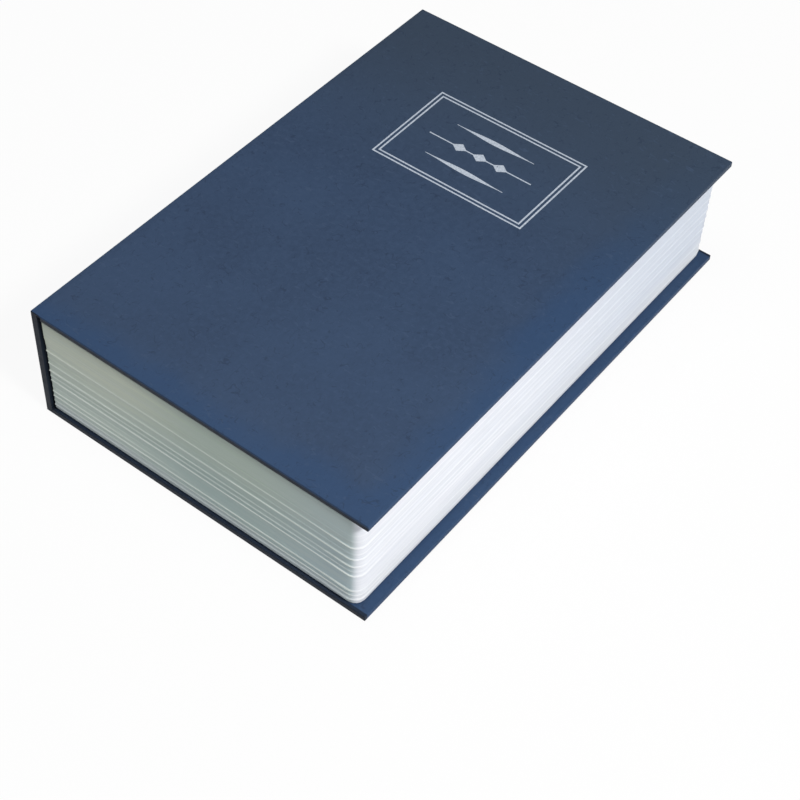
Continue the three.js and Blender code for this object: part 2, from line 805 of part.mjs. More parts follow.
function lockPlug() {
  const top = LOCK_FACE_HEIGHT - PLUG_RECESS;
  const half = DRIVE_SIDE / 2;
  const body = join(
    disc(PLUG_RADIUS, CAM_TOP, top),
    block(-half, half, -half, half, DRIVE_END, CAM_TOP + OVERCUT),
  );
  const keyway = block(
    -KEYWAY_WIDTH / 2,
    KEYWAY_WIDTH / 2,
    -KEYWAY_HEIGHT / 2,
    KEYWAY_HEIGHT / 2,
    waferHeight(WAFER_COUNT - 1) - WAFER_PITCH / 2,
    top + OVERCUT,
  );
  const slots = Array.from({ length: WAFER_COUNT }, (_, i) => {
    const z = waferHeight(i);
    const halfSlot = WAFER_THICKNESS / 2 + WAFER_FIT;
    const reach = PLUG_RADIUS + OVERCUT;
    const across = WAFER_WIDTH / 2 + WAFER_FIT;
    return block(-across, across, -reach, reach, z - halfSlot, z + halfSlot);
  });
  const pockets = Array.from({ length: WAFER_COUNT }, (_, i) => springPocket(waferHeight(i)));
  const holeEnd = DRIVE_END + SCREW_LENGTH;
  const screwHole = disc(SCREW_RADIUS + SCREW_FIT, DRIVE_END - OVERCUT, holeEnd, SMALL_STEPS);
  return cut(body, keyway, screwHole, ...slots, ...pockets);
}

const SPRING_OUTER = SPRING_RADIUS + SPRING_WIRE;
const SPRING_X = WAFER_WIDTH / 2 + WAFER_LUG / 2;

// The room in the plug for a wafer's lug and the spring under it.
function springPocket(z) {
  const halfSlot = SPRING_OUTER + SPRING_POCKET_FIT;
  return block(
    WAFER_WIDTH / 2,
    WAFER_WIDTH / 2 + WAFER_LUG + WAFER_FIT,
    -SPRING_LENGTH - SPRING_POCKET_FIT,
    WAFER_LUG_HEIGHT + SPRING_OUTER,
    z - halfSlot,
    z + halfSlot,
  );
}

function wafer(i) {
  const z = waferHeight(i);
  const halfThick = WAFER_THICKNESS / 2;
  const body = block(
    -WAFER_WIDTH / 2,
    WAFER_WIDTH / 2,
    -WAFER_REACH,
    WAFER_REACH,
    z - halfThick,
    z + halfThick,
  );
  const lug = block(
    0,
    WAFER_WIDTH / 2 + WAFER_LUG,
    SPRING_POCKET_FIT,
    SPRING_POCKET_FIT + WAFER_LUG_HEIGHT,
    z - halfThick,
    z + halfThick,
  );
  const window = block(
    -KEYWAY_WIDTH / 2,
    KEYWAY_WIDTH / 2,
    -KEYWAY_HEIGHT / 2,
    KEYWAY_HEIGHT / 2,
    z - OVERCUT,
    z + OVERCUT,
  );
  return cut(join(body, lug), window);
}

class Coil extends THREE.Curve {
  getPoint(t, target = new THREE.Vector3()) {
    const angle = 2 * Math.PI * SPRING_TURNS * t;
    const rise = SPRING_LENGTH - 2 * SPRING_WIRE;
    return target.set(
      SPRING_RADIUS * Math.cos(angle),
      SPRING_WIRE - SPRING_LENGTH + rise * t,
      SPRING_RADIUS * Math.sin(angle),
    );
  }
}

// A round section for a wire.
function wireSection(radius, sides) {
  return new THREE.Shape(
    Array.from({ length: sides }, (_, k) => {
      const angle = (2 * Math.PI * k) / sides;
      return new THREE.Vector2(radius * Math.cos(angle), radius * Math.sin(angle));
    }),
  );
}

function waferSpring(i) {
  const wire = new THREE.ExtrudeGeometry(wireSection(SPRING_WIRE, SPRING_SIDES), {
    extrudePath: new Coil(),
    steps: SPRING_STEPS_PER_TURN * SPRING_TURNS,
    bevelEnabled: false,
  });
  return wire.translate(SPRING_X, 0, waferHeight(i));
}

function lockWasher() {
  return cut(
    disc(WASHER_RADIUS, WASHER_TOP - WASHER_HEIGHT, WASHER_TOP),
    barrelShape(BARREL_FIT, WASHER_TOP - WASHER_HEIGHT - OVERCUT, WASHER_TOP + OVERCUT),
  );
}

function lockNut() {
  const corner = NUT_ACROSS / Math.sqrt(3);
  return cut(
    disc(corner, NUT_TOP - NUT_HEIGHT, NUT_TOP, 6),
    disc(BARREL_RADIUS + BARREL_FIT, NUT_TOP - NUT_HEIGHT - OVERCUT, NUT_TOP + OVERCUT),
  );
}

// The cam points to the tail while the lock is open.
function cam() {
  const half = CAM_WIDTH / 2;
  const shape = new THREE.Shape();
  shape.moveTo(half, CAM_TAIL - half);
  shape.absarc(0, CAM_TAIL - half, half, 0, Math.PI, false);
  shape.lineTo(-half, half - CAM_LENGTH);
  shape.absarc(0, half - CAM_LENGTH, half, Math.PI, 2 * Math.PI, false);
  shape.closePath();
  const hole = DRIVE_SIDE / 2 + DRIVE_FIT;
  shape.holes.push(new THREE.Path(rectangle(hole, hole).map(([x, y]) => new THREE.Vector2(x, y))));
  return plate(shape, CAM_BOTTOM, CAM_TOP - STACK_GAP);
}

function camWasher() {
  return ring(
    SCREW_RADIUS + SCREW_FIT,
    CAM_WASHER_RADIUS,
    CAM_WASHER_TOP - CAM_WASHER_HEIGHT,
    CAM_WASHER_TOP,
    SMALL_STEPS,
  );
}

function camScrew() {
  const headBottom = SCREW_TOP - SCREW_HEAD_HEIGHT;
  const shankTop = DRIVE_END + SCREW_LENGTH - SCREW_FIT;
  const body = turned(
    [
      [0, headBottom],
      [SCREW_HEAD_RADIUS, headBottom],
      [SCREW_HEAD_RADIUS, SCREW_TOP],
      [SCREW_RADIUS, SCREW_TOP],
      [SCREW_RADIUS, shankTop],
      [0, shankTop],
    ],
    SMALL_STEPS,
  );
  const slot = block(
    -SCREW_HEAD_RADIUS - OVERCUT,
    SCREW_HEAD_RADIUS + OVERCUT,
    -SCREW_SLOT_WIDTH / 2,
    SCREW_SLOT_WIDTH / 2,
    headBottom - OVERCUT,
    headBottom + SCREW_SLOT_DEPTH,
  );
  return cut(body, slot);
}

// The keys, with their origin where the ring passes through a key's slot, the blade pointing along -Y

function keyHead() {
  const end = SLOT_AHEAD + WEB_WIDTH;
  const half = HEAD_WIDTH / 2;
  const shape = new THREE.Shape();
  shape.moveTo(-half + HEAD_CORNER, end - HEAD_LENGTH);
  shape.lineTo(half - HEAD_CORNER, end - HEAD_LENGTH);
  shape.absarc(half - HEAD_CORNER, end - HEAD_LENGTH + HEAD_CORNER, HEAD_CORNER, -Math.PI / 2, 0, false);
  shape.absarc(half - HEAD_CORNER, end - HEAD_CORNER, HEAD_CORNER, 0, Math.PI / 2, false);
  shape.absarc(-half + HEAD_CORNER, end - HEAD_CORNER, HEAD_CORNER, Math.PI / 2, Math.PI, false);
  shape.absarc(
    -half + HEAD_CORNER,
    end - HEAD_LENGTH + HEAD_CORNER,
    HEAD_CORNER,
    Math.PI,
    1.5 * Math.PI,
    false,
  );
  shape.closePath();
  const thick = HEAD_THICKNESS / 2;
  const through = thick + OVERCUT;
  const slot = block(-SLOT_LENGTH / 2, SLOT_LENGTH / 2, -SLOT_BEHIND, SLOT_AHEAD, -through, through);
  const reliefs = [-1, 1].map((side) =>
    block(
      -half - OVERCUT,
      half + OVERCUT,
      end - RELIEF_LENGTH,
      end + OVERCUT,
      side > 0 ? WEB_THICKNESS / 2 : -thick - OVERCUT,
      side > 0 ? thick + OVERCUT : -WEB_THICKNESS / 2,
    ),
  );
  const pocket = tang(BLADE_POCKET_FIT, end - HEAD_LENGTH - OVERCUT, end - HEAD_LENGTH + BLADE_TANG);
  return cut(plate(shape, -thick, thick), slot, pocket, ...reliefs);
}

// The part of the blade that sits inside the head.
function tang(fit, y0, y1) {
  const halfWide = BLADE_SHOULDER / 2 + fit;
  const halfThick = BLADE_THICKNESS / 2 + fit;
  return block(-halfWide, halfWide, y0, y1, -halfThick, halfThick);
}

// The blade: a shoulder at the head, then a narrower stem with cuts along one edge and a pointed tip.
function keyBlade() {
  const mouth = SLOT_AHEAD + WEB_WIDTH - HEAD_LENGTH;
  const shoulder = BLADE_SHOULDER / 2;
  const stem = BLADE_WIDTH / 2;
  const tangEnd = mouth + BLADE_TANG - BLADE_POCKET_FIT;
  const stemStart = mouth - BLADE_SHOULDER_LENGTH;
  const tip = mouth - BLADE_LENGTH;
  const run = stemStart - tip - BLADE_TIP;
  const pitch = run / BLADE_CUTS;
  const edge = [
    [shoulder, tangEnd],
    [-shoulder, tangEnd],
    [-shoulder, stemStart],
    [-stem, stemStart],
    [-stem, tip + BLADE_TIP],
    [0, tip],
    [stem, tip + BLADE_TIP],
  ];
  for (let i = 0; i < BLADE_CUTS; i += 1) {
    const y = tip + BLADE_TIP + i * pitch;
    const depth = BLADE_CUT_DEPTH * (1 - BLADE_CUT_SWING * Math.sin(i) ** 2);
    const flat = (BLADE_CUT_FLAT * pitch) / 2;
    const middle = y + pitch / 2;
    edge.push([stem - depth, middle - flat], [stem - depth, middle + flat], [stem, y + pitch]);
  }
  edge.push([shoulder, stemStart]);
  const outline = edge.map(([x, y]) => new THREE.Vector2(x, y)).reverse();
  return plate(outline, -BLADE_THICKNESS / 2, BLADE_THICKNESS / 2);
}

// The split ring, tilted so that it passes under one side of each key's web and over the other.
function keyRing() {
  const circle = turned(
    Array.from({ length: RING_SIDES + 1 }, (_, k) => {
      const angle = (2 * Math.PI * (k % RING_SIDES)) / RING_SIDES;
      return [RING_RADIUS + RING_WIRE * Math.cos(angle), RING_WIRE * Math.sin(angle)];
    }),
  );
  return circle.rotateY(-THREE.MathUtils.degToRad(RING_TILT));
}

// Materials

function finish(colour, roughness, metalness = 0) {
  return new THREE.MeshStandardMaterial({ color: colour, roughness, metalness });
}

const navyPaper = () => finish(0x3b4c67, 0.75);
const greyBoard = () => finish(0x8f8b82, 0.95);
const whitePaper = () => finish(0xf4f4f8, 0.9);
const silverFoil = () => finish(0xd9dfea, 0.3, 0.8);
const pagePlastic = () => finish(0xe9ebe8, 0.7);
const greySteel = () => finish(0x626468, 0.45, 0.6);
const plainSteel = () => finish(0x9a9ca0, 0.35, 0.9);
const chrome = () => finish(0xd8dadd, 0.12, 1);
const brass = () => finish(0xb59a5a, 0.35, 0.9);
const springSteel = () => finish(0x8d9094, 0.35, 0.9);
const nickel = () => finish(0xc9c5bb, 0.25, 0.95);
const blackPlastic = () => finish(0x17181b, 0.5);

function add(group, name, geometry, material) {
  const mesh = new THREE.Mesh(geometry, material);
  mesh.name = name;
  group.add(mesh);
  return mesh;
}

// Assembly

// Everything that swings with the front cover.
function frontCover() {
  const group = new THREE.Group();
  const boardBottom = BOOK_THICKNESS - PAPER - GLUE - COVER_BOARD;
  const endpaperStart = COVER_START_X + INNER_JOINT_REACH;
  add(group, "front_cover_paper", frontPaper(), navyPaper());
  add(group, "front_board", coverBoard(COVER_START_X, boardBottom), greyBoard());
  add(group, "front_endpaper", endpaper(endpaperStart, COVER_UNDERSIDE), whitePaper());
  foilOutlines().forEach(({ name, outline, hole }) => add(group, name, foil(outline, hole), silverFoil()));
  return group;
}

function caseAndBlock() {
  const group = new THREE.Group();
  add(group, "back_cover_paper", backPaper(), navyPaper());
  add(group, "back_board", coverBoard(SPINE_INNER_X + GLUE, PAPER + GLUE), greyBoard());
  add(group, "rear_endpaper", endpaper(BLOCK_SPINE_X, COVER_STACK - ENDPAPER), whitePaper());
  add(group, "spine_paper", spinePaper(), navyPaper());
  add(group, "spine_board", spineBoard(), greyBoard());
  add(group, "spine_lining", spineLining(), whitePaper());
  add(group, "cover_joint_paper", coverJointPaper(), navyPaper());
  add(group, "inner_joint_paper", innerJointPaper(), whitePaper());
  add(group, "page_edge_shell", pageShell(), pagePlastic());
  return group;
}

function steelBox() {
  const group = new THREE.Group();
  add(group, "steel_tray", tray(), greySteel());
  add(group, "lid_rail", lidRail(), greySteel());
  add(group, "lock_catch", lockCatch(), greySteel());
  const hinge = new THREE.Group();
  hinge.position.set(PIN_X, 0, PIN_Z);
  add(hinge, "hinge_box_leaf", boxLeaf(), greySteel());
  add(hinge, "hinge_pin", hingePin(), plainSteel());
  group.add(hinge);
  return group;
}

function lid() {
  const group = new THREE.Group();
  add(group, "lid_panel", lidPanel(), greySteel());
  const hinge = new THREE.Group();
  hinge.position.set(PIN_X, 0, PIN_Z);
  add(hinge, "hinge_lid_leaf", lidLeaf(), greySteel());
  group.add(hinge, lock());
  return group;
}

function lock() {
  const group = new THREE.Group();
  group.position.set(LOCK_X, LOCK_Y, LID_LOW_TOP);
  add(group, "lock_body", lockBody(), chrome());
  add(group, "lock_washer", lockWasher(), plainSteel());
  add(group, "lock_nut", lockNut(), plainSteel());
  add(group, "lock_plug", lockPlug(), brass());
  add(group, "cam", cam(), plainSteel());
  add(group, "cam_washer", camWasher(), plainSteel());
  add(group, "cam_screw", camScrew(), plainSteel());
  for (let i = 0; i < WAFER_COUNT; i += 1) {
    add(group, `wafer_${i + 1}`, wafer(i), brass());
    add(group, `wafer_spring_${i + 1}`, waferSpring(i), springSteel());
  }
  return group;
}

function keys() {
  const group = new THREE.Group();
  group.position.set(KEYS_X, KEYS_Y, TRAY_FLOOR + KEYS_FLOOR_GAP + HEAD_THICKNESS / 2);
  group.rotation.z = THREE.MathUtils.degToRad(KEYS_TURN);
  add(group, "key_ring", keyRing(), nickel());
  [1, 2].forEach((number) => {
    const key = new THREE.Group();
    const side = number === 1 ? -1 : 1;
    key.position.y = side * RING_RADIUS;
    key.rotation.z = side < 0 ? 0 : Math.PI;
    add(key, `key_${number}_head`, keyHead(), blackPlastic());
    add(key, `key_${number}_blade`, keyBlade(), nickel());
    group.add(key);
  });
  return group;
}

const bookSafe = new THREE.Group();
bookSafe.add(caseAndBlock(), frontCover(), steelBox(), lid(), keys());

export default bookSafe;
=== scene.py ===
"""Dresses the book diversion safe: bookbinding, moulded page block, steel box, lock and keys."""
import math

import bmesh
import bpy
import numpy as np
from mathutils import Matrix, Vector


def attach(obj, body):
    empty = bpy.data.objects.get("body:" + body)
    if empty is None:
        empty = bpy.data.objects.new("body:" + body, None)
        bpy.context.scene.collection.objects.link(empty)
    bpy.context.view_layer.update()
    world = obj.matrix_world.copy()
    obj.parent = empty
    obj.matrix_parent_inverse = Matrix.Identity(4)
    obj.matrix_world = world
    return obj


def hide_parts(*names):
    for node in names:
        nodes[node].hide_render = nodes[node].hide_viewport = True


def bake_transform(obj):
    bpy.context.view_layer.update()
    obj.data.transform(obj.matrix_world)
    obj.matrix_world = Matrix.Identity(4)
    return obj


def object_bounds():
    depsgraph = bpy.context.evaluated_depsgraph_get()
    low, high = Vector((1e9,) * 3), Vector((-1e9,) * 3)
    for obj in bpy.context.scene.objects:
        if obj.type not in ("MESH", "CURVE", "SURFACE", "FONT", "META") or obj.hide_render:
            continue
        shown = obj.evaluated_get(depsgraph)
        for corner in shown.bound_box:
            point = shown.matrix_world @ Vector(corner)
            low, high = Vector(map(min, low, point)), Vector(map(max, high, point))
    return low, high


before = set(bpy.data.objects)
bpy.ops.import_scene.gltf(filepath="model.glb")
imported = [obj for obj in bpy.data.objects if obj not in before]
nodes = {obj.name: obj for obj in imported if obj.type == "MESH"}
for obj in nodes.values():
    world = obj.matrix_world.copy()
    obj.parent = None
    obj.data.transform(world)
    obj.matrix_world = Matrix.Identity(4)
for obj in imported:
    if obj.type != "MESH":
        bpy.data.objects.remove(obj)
cad_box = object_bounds()
MM = 0.001

# The book's outside in millimetres, from the CAD model's bounds: spine at -X, tail at -Y, lying on its back
# cover.
(SPINE_X, _, _), (FORE_X, HALF_HEIGHT, THICKNESS) = [[round(v / MM, 3) for v in corner] for corner in cad_box]

# Covers: the paper's thickness, a board's with its paper on, where the spine ends and the front cover begins,
# how far the paper is folded over inside, and half the length of the white strips.
PAPER = 0.35
COVER = 2.7
COVER_BOTTOM = THICKNESS - COVER
SPINE_INNER_X = -75.75
COVER_START_X = -73.5
TURN_IN = 15.0
JOINT_HALF = 112.5
LINING_HALF = 0.1
FRONT_ROUND, BACK_ROUND = 0.42, 0.34

# Edge loops across the joint: how many and how far apart, in millimetres.
BEND_LOOPS, BEND_STEP = 9, 0.2

# Page block: its outside, its wall, the radius of its two fore corners, how far those lie from the middle
# of its path as a share of the path's length, and the grid that it is made of.
PAGE_FORE_X, PAGE_HALF, PAGE_SPINE_X = 74.5, 118.5, -74.65
PAGE_LOW, PAGE_HIGH, PAGE_WALL, PAGE_CORNER = 3.0, 51.65, 2.7, 5.0
CORNER_SHARE, CORNER_STEPS = 0.222, 16
PAGE_ROWS, PAGE_COLUMNS = 170, 330

# Leaf crests: their heights, how far each reaches up and down, how deep the face lies between them, and
# how far they wander on two slow waves.
CRESTS = (42.9, 36.0, 29.4, 25.2, 19.6, 10.8, 5.6)
FAINT_CRESTS = (46.6, 39.6, 32.4, 22.3, 16.2, 13.4, 8.1)
CREST_REACH = 0.75
GROOVE_DEPTH = 0.75
SWAY, SECOND_SWAY = 1.6, 0.5
WAVES_PER_METRE = 5.0

# Keys: the ring's middle, the turn of the line that they lie on, and the grooves milled in their blades.
KEYS_MIDDLE = (-46.0, -34.7)
KEYS_TURN = 8.0
BLADE_SIDES = {"key_1_blade": -1, "key_2_blade": 1}
KEY_GROOVE_HALF_WIDTH = 0.9
KEY_GROOVE_START, KEY_GROOVE_END = 38.0, 67.0
KEY_GROOVE_LEVELS = ((6.3, 7.35), (8.45, 9.5))

# Lock: the height above which the barrel's brass is plated, and its wafers.
PLATED_ABOVE = 37.4
WAFERS = 5

# Floor: half its side, its thickness, and how white the camera sees it.
FLOOR_HALF, FLOOR_THICKNESS, FLOOR_WHITE = 3000, 2, 0.92

# Angles between faces in degrees: the largest that is smoothed over, and the smallest whose edge is rounded.
SMOOTH_SOLID, SMOOTH_MOULDED = 40, 50
ROUND_ABOVE = 30

# What counts as flat and as an outer fold, in radians, as one point, in metres, as lying at a place, in
# millimetres, and as facing along an axis.
FLAT_ANGLE, OUTER_FOLD = 0.01, 0.5
SAME_POINT = 1e-6
NEAR = 0.05
FACING = 0.9

# Camera: fitted to the photograph, in millimetres and degrees.
CAMERA_PLACE = (288.97, -404.29, 523.44)
CAMERA_AZIMUTH, CAMERA_ELEVATION, CAMERA_ROLL = -54.8940, 48.7092, 3.1853
CAMERA_LENS, CAMERA_SENSOR = 79.66, 36


class Nodes:
    """Short calls for the nodes that materials and geometry trees share."""

    def __init__(self, tree):
        self.tree = tree

    def node(self, kind, **settings):
        made = self.tree.nodes.new(kind)
        for name, value in settings.items():
            setattr(made, name, value)
        return made

    def plug(self, socket, value):
        """Puts a number, a colour or another node's output into a socket."""
        if isinstance(value, bpy.types.NodeSocket):
            self.tree.links.new(value, socket)
        elif socket.type == "RGBA":
            socket.default_value = (*value, 1)
        else:
            socket.default_value = value

    def maths(self, operation, *values):
        made = self.node("ShaderNodeMath", operation=operation)
        for socket, value in zip(made.inputs, values):
            self.plug(socket, value)
        return made.outputs[0]

    def plus(self, a, b):
        return self.maths("ADD", a, b)

    def less(self, a, b):
        return self.maths("SUBTRACT", a, b)

    def times(self, a, b):
        return self.maths("MULTIPLY", a, b)

    def larger(self, a, b):
        return self.maths("MAXIMUM", a, b)

    def smaller(self, a, b):
        return self.maths("MINIMUM", a, b)

    def size(self, a):
        return self.maths("ABSOLUTE", a)

    def ramp(self, value, low, high, to_low=0.0, to_high=1.0):
        """A smooth step from to_low to to_high while the value goes from low to high."""
        made = self.node("ShaderNodeMapRange", interpolation_type="SMOOTHSTEP")
        for socket, number in zip(made.inputs, (value, low, high, to_low, to_high)):
            self.plug(socket, number)
        return made.outputs[0]

    def between(self, place, start, end, at_start=0.0, at_end=1.0):
        """A smooth step between two places in millimetres."""
        return self.ramp(place, start * MM, end * MM, at_start, at_end)


class Finish(Nodes):
    """A node material drawn on Object coordinates, or on a piece's own rest attribute."""

    def __init__(self, name, place="Object", metallic=0.0, specular=0.5, roughness=0.5):
        self.material = bpy.data.materials.new(name)
        self.material.use_nodes = True
        super().__init__(self.material.node_tree)
        self.tree.nodes.clear()
        out = self.node("ShaderNodeOutputMaterial")
        self.shader = self.node("ShaderNodeBsdfPrincipled")
        self.plug(out.inputs["Surface"], self.shader.outputs[0])
        self.plug(self.shader.inputs["Metallic"], metallic)
        self.plug(self.shader.inputs["Specular IOR Level"], specular)
        self.plug(self.shader.inputs["Roughness"], roughness)
        if place == "Object":
            self.where = self.node("ShaderNodeTexCoord").outputs["Object"]
        else:
            self.where = self.attribute(place, "Vector")

    def attribute(self, name, output="Fac"):
        return self.node("ShaderNodeAttribute", attribute_name=name).outputs[output]

    def axes(self):
        split = self.node("ShaderNodeSeparateXYZ")
        self.plug(split.inputs[0], self.where)
        return split.outputs

    def stretched(self, scale, turn=(0, 0, 0)):
        mapping = self.node("ShaderNodeMapping")
        self.plug(mapping.inputs["Scale"], scale)
        self.plug(mapping.inputs["Rotation"], turn)
        self.plug(mapping.inputs["Vector"], self.where)
        return mapping.outputs["Vector"]

    def noise(self, per_metre, detail=3.0, roughness=0.5, distortion=0.0, where=None):
        made = self.node("ShaderNodeTexNoise")
        self.plug(made.inputs["Vector"], where or self.where)
        self.plug(made.inputs["Scale"], per_metre)
        self.plug(made.inputs["Detail"], detail)
        self.plug(made.inputs["Roughness"], roughness)
        self.plug(made.inputs["Distortion"], distortion)
        return made.outputs["Fac"]

    def mix(self, amount, a, b):
        """Colour a, going over to colour b as the amount goes from 0 to 1."""
        made = self.node("ShaderNodeMix", data_type="RGBA")
        colours = [socket for socket in made.inputs if socket.type == "RGBA"]
        self.plug(made.inputs[0], amount)
        self.plug(colours[0], a)
        self.plug(colours[1], b)
        return next(socket for socket in made.outputs if socket.type == "RGBA")

    def colour(self, socket):
        self.plug(self.shader.inputs["Base Color"], socket)

    def roughness(self, socket):
        self.plug(self.shader.inputs["Roughness"], socket)

    def bump(self, height, depth_mm, strength):
        """Adds the bump of a height pattern on top of the bumps before it."""
        made = self.node("ShaderNodeBump")
        self.plug(made.inputs["Strength"], strength)
        self.plug(made.inputs["Distance"], depth_mm * MM)
        self.plug(made.inputs["Height"], height)
        normal = self.shader.inputs["Normal"]
        if normal.is_linked:
            self.plug(made.inputs["Normal"], normal.links[0].from_socket)
        self.plug(normal, made.outputs["Normal"])


# Covering paper

NAVY_DEEP = (0.0310, 0.0560, 0.1110)
NAVY_MIDDLE = (0.0355, 0.0650, 0.1280)
NAVY_LIGHT = (0.0450, 0.0770, 0.1470)
NAVY_PURE = (0.0230, 0.0640, 0.1560)
# Painted shade towards the head end.
NAVY_HEAD_SHADE = (0.0385, 0.0590, 0.0930)
FIBRE_DARK = (0.0165, 0.0290, 0.0620)
FIBRE_PALE = (0.0560, 0.0900, 0.1600)
# Painted shade, almost black, for the boards' ends, the ledge and the joint's slot.
SHADE_BLACK = (0.0060, 0.0085, 0.0130)


def pure_blue_band(f, x, y, cloud):
    """A cloudy band along the tail and the fore edge."""
    from_edge = f.smaller(f.plus(y, HALF_HEIGHT * MM), f.less(FORE_X * MM, x))
    from_edge = f.plus(from_edge, f.times(f.less(cloud, 0.5), 30 * MM))
    return f.between(from_edge, 17, 3, 0.0, 0.5)


def head_end_shade(f, y, z):
    """Painted shade towards the head end, where the light falls off, weaker low on the back cover."""
    return f.times(f.between(y, 0, 115, 0.0, 0.85), f.between(z, 4, 10, 0.2, 1.0))


def dark_fibres(f):
    """Thin bent fibres a few millimetres long, scattered in the sheet, with finer ones between."""
    line = f.ramp(f.size(f.less(f.noise(230, 1.0, 0.5, 0.4), 0.5)), 0.032, 0.006)
    threads = f.times(line, f.ramp(f.noise(300, 2, 0.5), 0.52, 0.62))
    fine = f.ramp(f.noise(900, 2, 0.5, 1.5, f.stretched((1.0, 0.34, 1.0), (0, 0, 0.6))), 0.58, 0.71)
    return f.larger(threads, f.times(fine, 0.5))


def end_and_slot_shade(f, x, y, z):
    """Painted shade on the boards' turned ends, the back cover's ledge beyond the pages and the slot of the
    joint, less at the top of the front cover's ends, where they catch the light.
    """
    from_middle = f.size(y)
    lit = f.times(
        f.between(z, THICKNESS - 1.1, THICKNESS - 0.4, 0.0, 0.6),
        f.between(x, COVER_START_X - 1.0, COVER_START_X),
    )
    ends = f.times(f.between(from_middle, HALF_HEIGHT - 0.45, HALF_HEIGHT - 0.1), f.less(1.0, lit))
    ledge = f.between(from_middle, HALF_HEIGHT - 1.6, HALF_HEIGHT - 1.1)
    ledge = f.times(ledge, f.between(z, 3.6, 3.4, 0.0, 0.85))
    slot = f.times(
        f.between(x, SPINE_INNER_X - 0.05, SPINE_INNER_X + 0.05),
        f.between(x, COVER_START_X + 0.1, COVER_START_X),
    )
    slot = f.times(slot, f.between(z, THICKNESS - 0.3, THICKNESS - 0.4))
    return f.larger(f.larger(ends, ledge), slot)


def covering_paper():
    """Clouded, mottled and fibrous paper, with painted shade towards the head and painted shade, almost
    black, at the boards' ends, the ledge and the joint's slot.
    """
    f = Finish("navy covering paper", "rest_place", specular=0.22)
    x, y, z = f.axes()
    cloud = f.noise(22, 3, 0.6)
    mottle = f.noise(420, 4, 0.65)
    fibres = dark_fibres(f)
    pale = f.ramp(f.noise(640, 2, 0.5, 1.2, f.stretched((0.4, 1.0, 1.0), (0, 0, 0.5))), 0.60, 0.74)
    base = f.mix(f.ramp(cloud, 0.3, 0.7), NAVY_DEEP, NAVY_MIDDLE)
    base = f.mix(f.ramp(mottle, 0.35, 0.75, 0.0, 0.6), base, NAVY_LIGHT)
    base = f.mix(pure_blue_band(f, x, y, cloud), base, NAVY_PURE)
    # Painted shade towards the head end, where the light falls off.
    base = f.mix(head_end_shade(f, y, z), base, NAVY_HEAD_SHADE)
    base = f.mix(f.times(fibres, 0.42), base, FIBRE_DARK)
    base = f.mix(f.times(pale, 0.4), base, FIBRE_PALE)
    # Painted shade, almost black, on the boards' ends, the ledge and the joint's slot.
    f.colour(f.mix(f.times(end_and_slot_shade(f, x, y, z), 0.9), base, SHADE_BLACK))
    f.roughness(f.ramp(mottle, 0.2, 0.8, 0.55, 0.72))
    f.bump(f.noise(1500, 4, 0.6), 0.05, 0.35)
    f.bump(fibres, 0.03, 0.3)
    f.bump(f.noise(90, 2, 0.5), 0.2, 0.2)
    return f.material


# White paper and grey board

def white_paper(name, place):
    f = Finish(name, place, specular=0.3, roughness=0.75)
    fibre = f.noise(700, 4, 0.65)
    base = f.mix(f.ramp(f.noise(35, 2, 0.5), 0.3, 0.7), (0.80, 0.80, 0.82), (0.84, 0.84, 0.85))
    f.colour(f.mix(f.ramp(fibre, 0.3, 0.7, 0.0, 0.5), base, (0.76, 0.76, 0.77)))
    f.bump(fibre, 0.03, 0.4)
    return f.material


def grey_board():
    f = Finish("grey board", specular=0.2, roughness=0.9)
    fibre = f.noise(900, 4, 0.7, 0.0, f.stretched((1, 1, 2.5)))
    f.colour(f.mix(f.ramp(fibre, 0.3, 0.7), (0.17, 0.16, 0.14), (0.27, 0.25, 0.225)))
    f.bump(fibre, 0.1, 0.6)
    return f.material


# Page plastic

PAGE_WHITE = (0.80, 0.80, 0.79)
# Painted highlights on the leaf crests and painted shade in the hollows, for the tail and the fore edge.
TAIL_CREST_HIGHLIGHT, TAIL_HOLLOW_SHADE = (0.90, 0.95, 0.90), (0.44, 0.51, 0.49)
FORE_CREST_HIGHLIGHT, FORE_HOLLOW_SHADE = (0.93, 0.94, 0.98), (0.62, 0.66, 0.75)


def shaded_tail_pages(f, x, z, cloud):
    """The tail face painted in shade, much darker than the fore edge: yellowish above, greenish below, with
    more painted shade in the upper middle, bluer towards the fore edge and the foot, and a painted shadow
    under the cover.
    """
    height = f.between(z, 16, 46)
    upper = f.mix(f.ramp(cloud, 0.3, 0.7), (0.57, 0.62, 0.50), (0.67, 0.71, 0.57))
    lower = f.mix(f.ramp(cloud, 0.3, 0.7), (0.54, 0.64, 0.59), (0.62, 0.71, 0.64))
    tail = f.mix(height, lower, upper)
    # More painted shade in the upper middle of the tail.
    shaded_middle = f.times(f.between(x, -40, 8), height)
    tail = f.mix(f.times(shaded_middle, 0.85), tail, (0.395, 0.505, 0.43))
    bluer = f.times(f.between(x, -55, 15), f.less(1.0, height))
    tail = f.mix(f.times(bluer, 0.9), tail, (0.31, 0.43, 0.435))
    tail = f.mix(f.between(x, 20, 70, 0.0, 0.5), tail, (0.43, 0.54, 0.67))
    tail = f.mix(f.between(z, 10, 5, 0.0, 0.7), tail, (0.46, 0.49, 0.57))
    # Painted shadow under the front cover's edge.
    return f.mix(f.between(z, 46, 52, 0.0, 0.4), tail, (0.27, 0.30, 0.27))


def fore_pages(f, y, z, cloud):
    """Bluish white, with painted shade towards the head, where the light falls off, and painted light at the
    foot, where the ledge shades it.
    """
    fore = f.mix(f.ramp(cloud, 0.3, 0.7), (0.88, 0.90, 0.97), (0.93, 0.94, 0.99))
    # Painted shade towards the head.
    fore = f.mix(f.between(y, -75, 110, 0.0, 0.95), fore, (0.61, 0.67, 0.78))
    # Painted light at the foot, against the shade there.
    return f.mix(f.between(z, 17, 4, 0.0, 0.7), fore, (0.95, 0.96, 0.98))


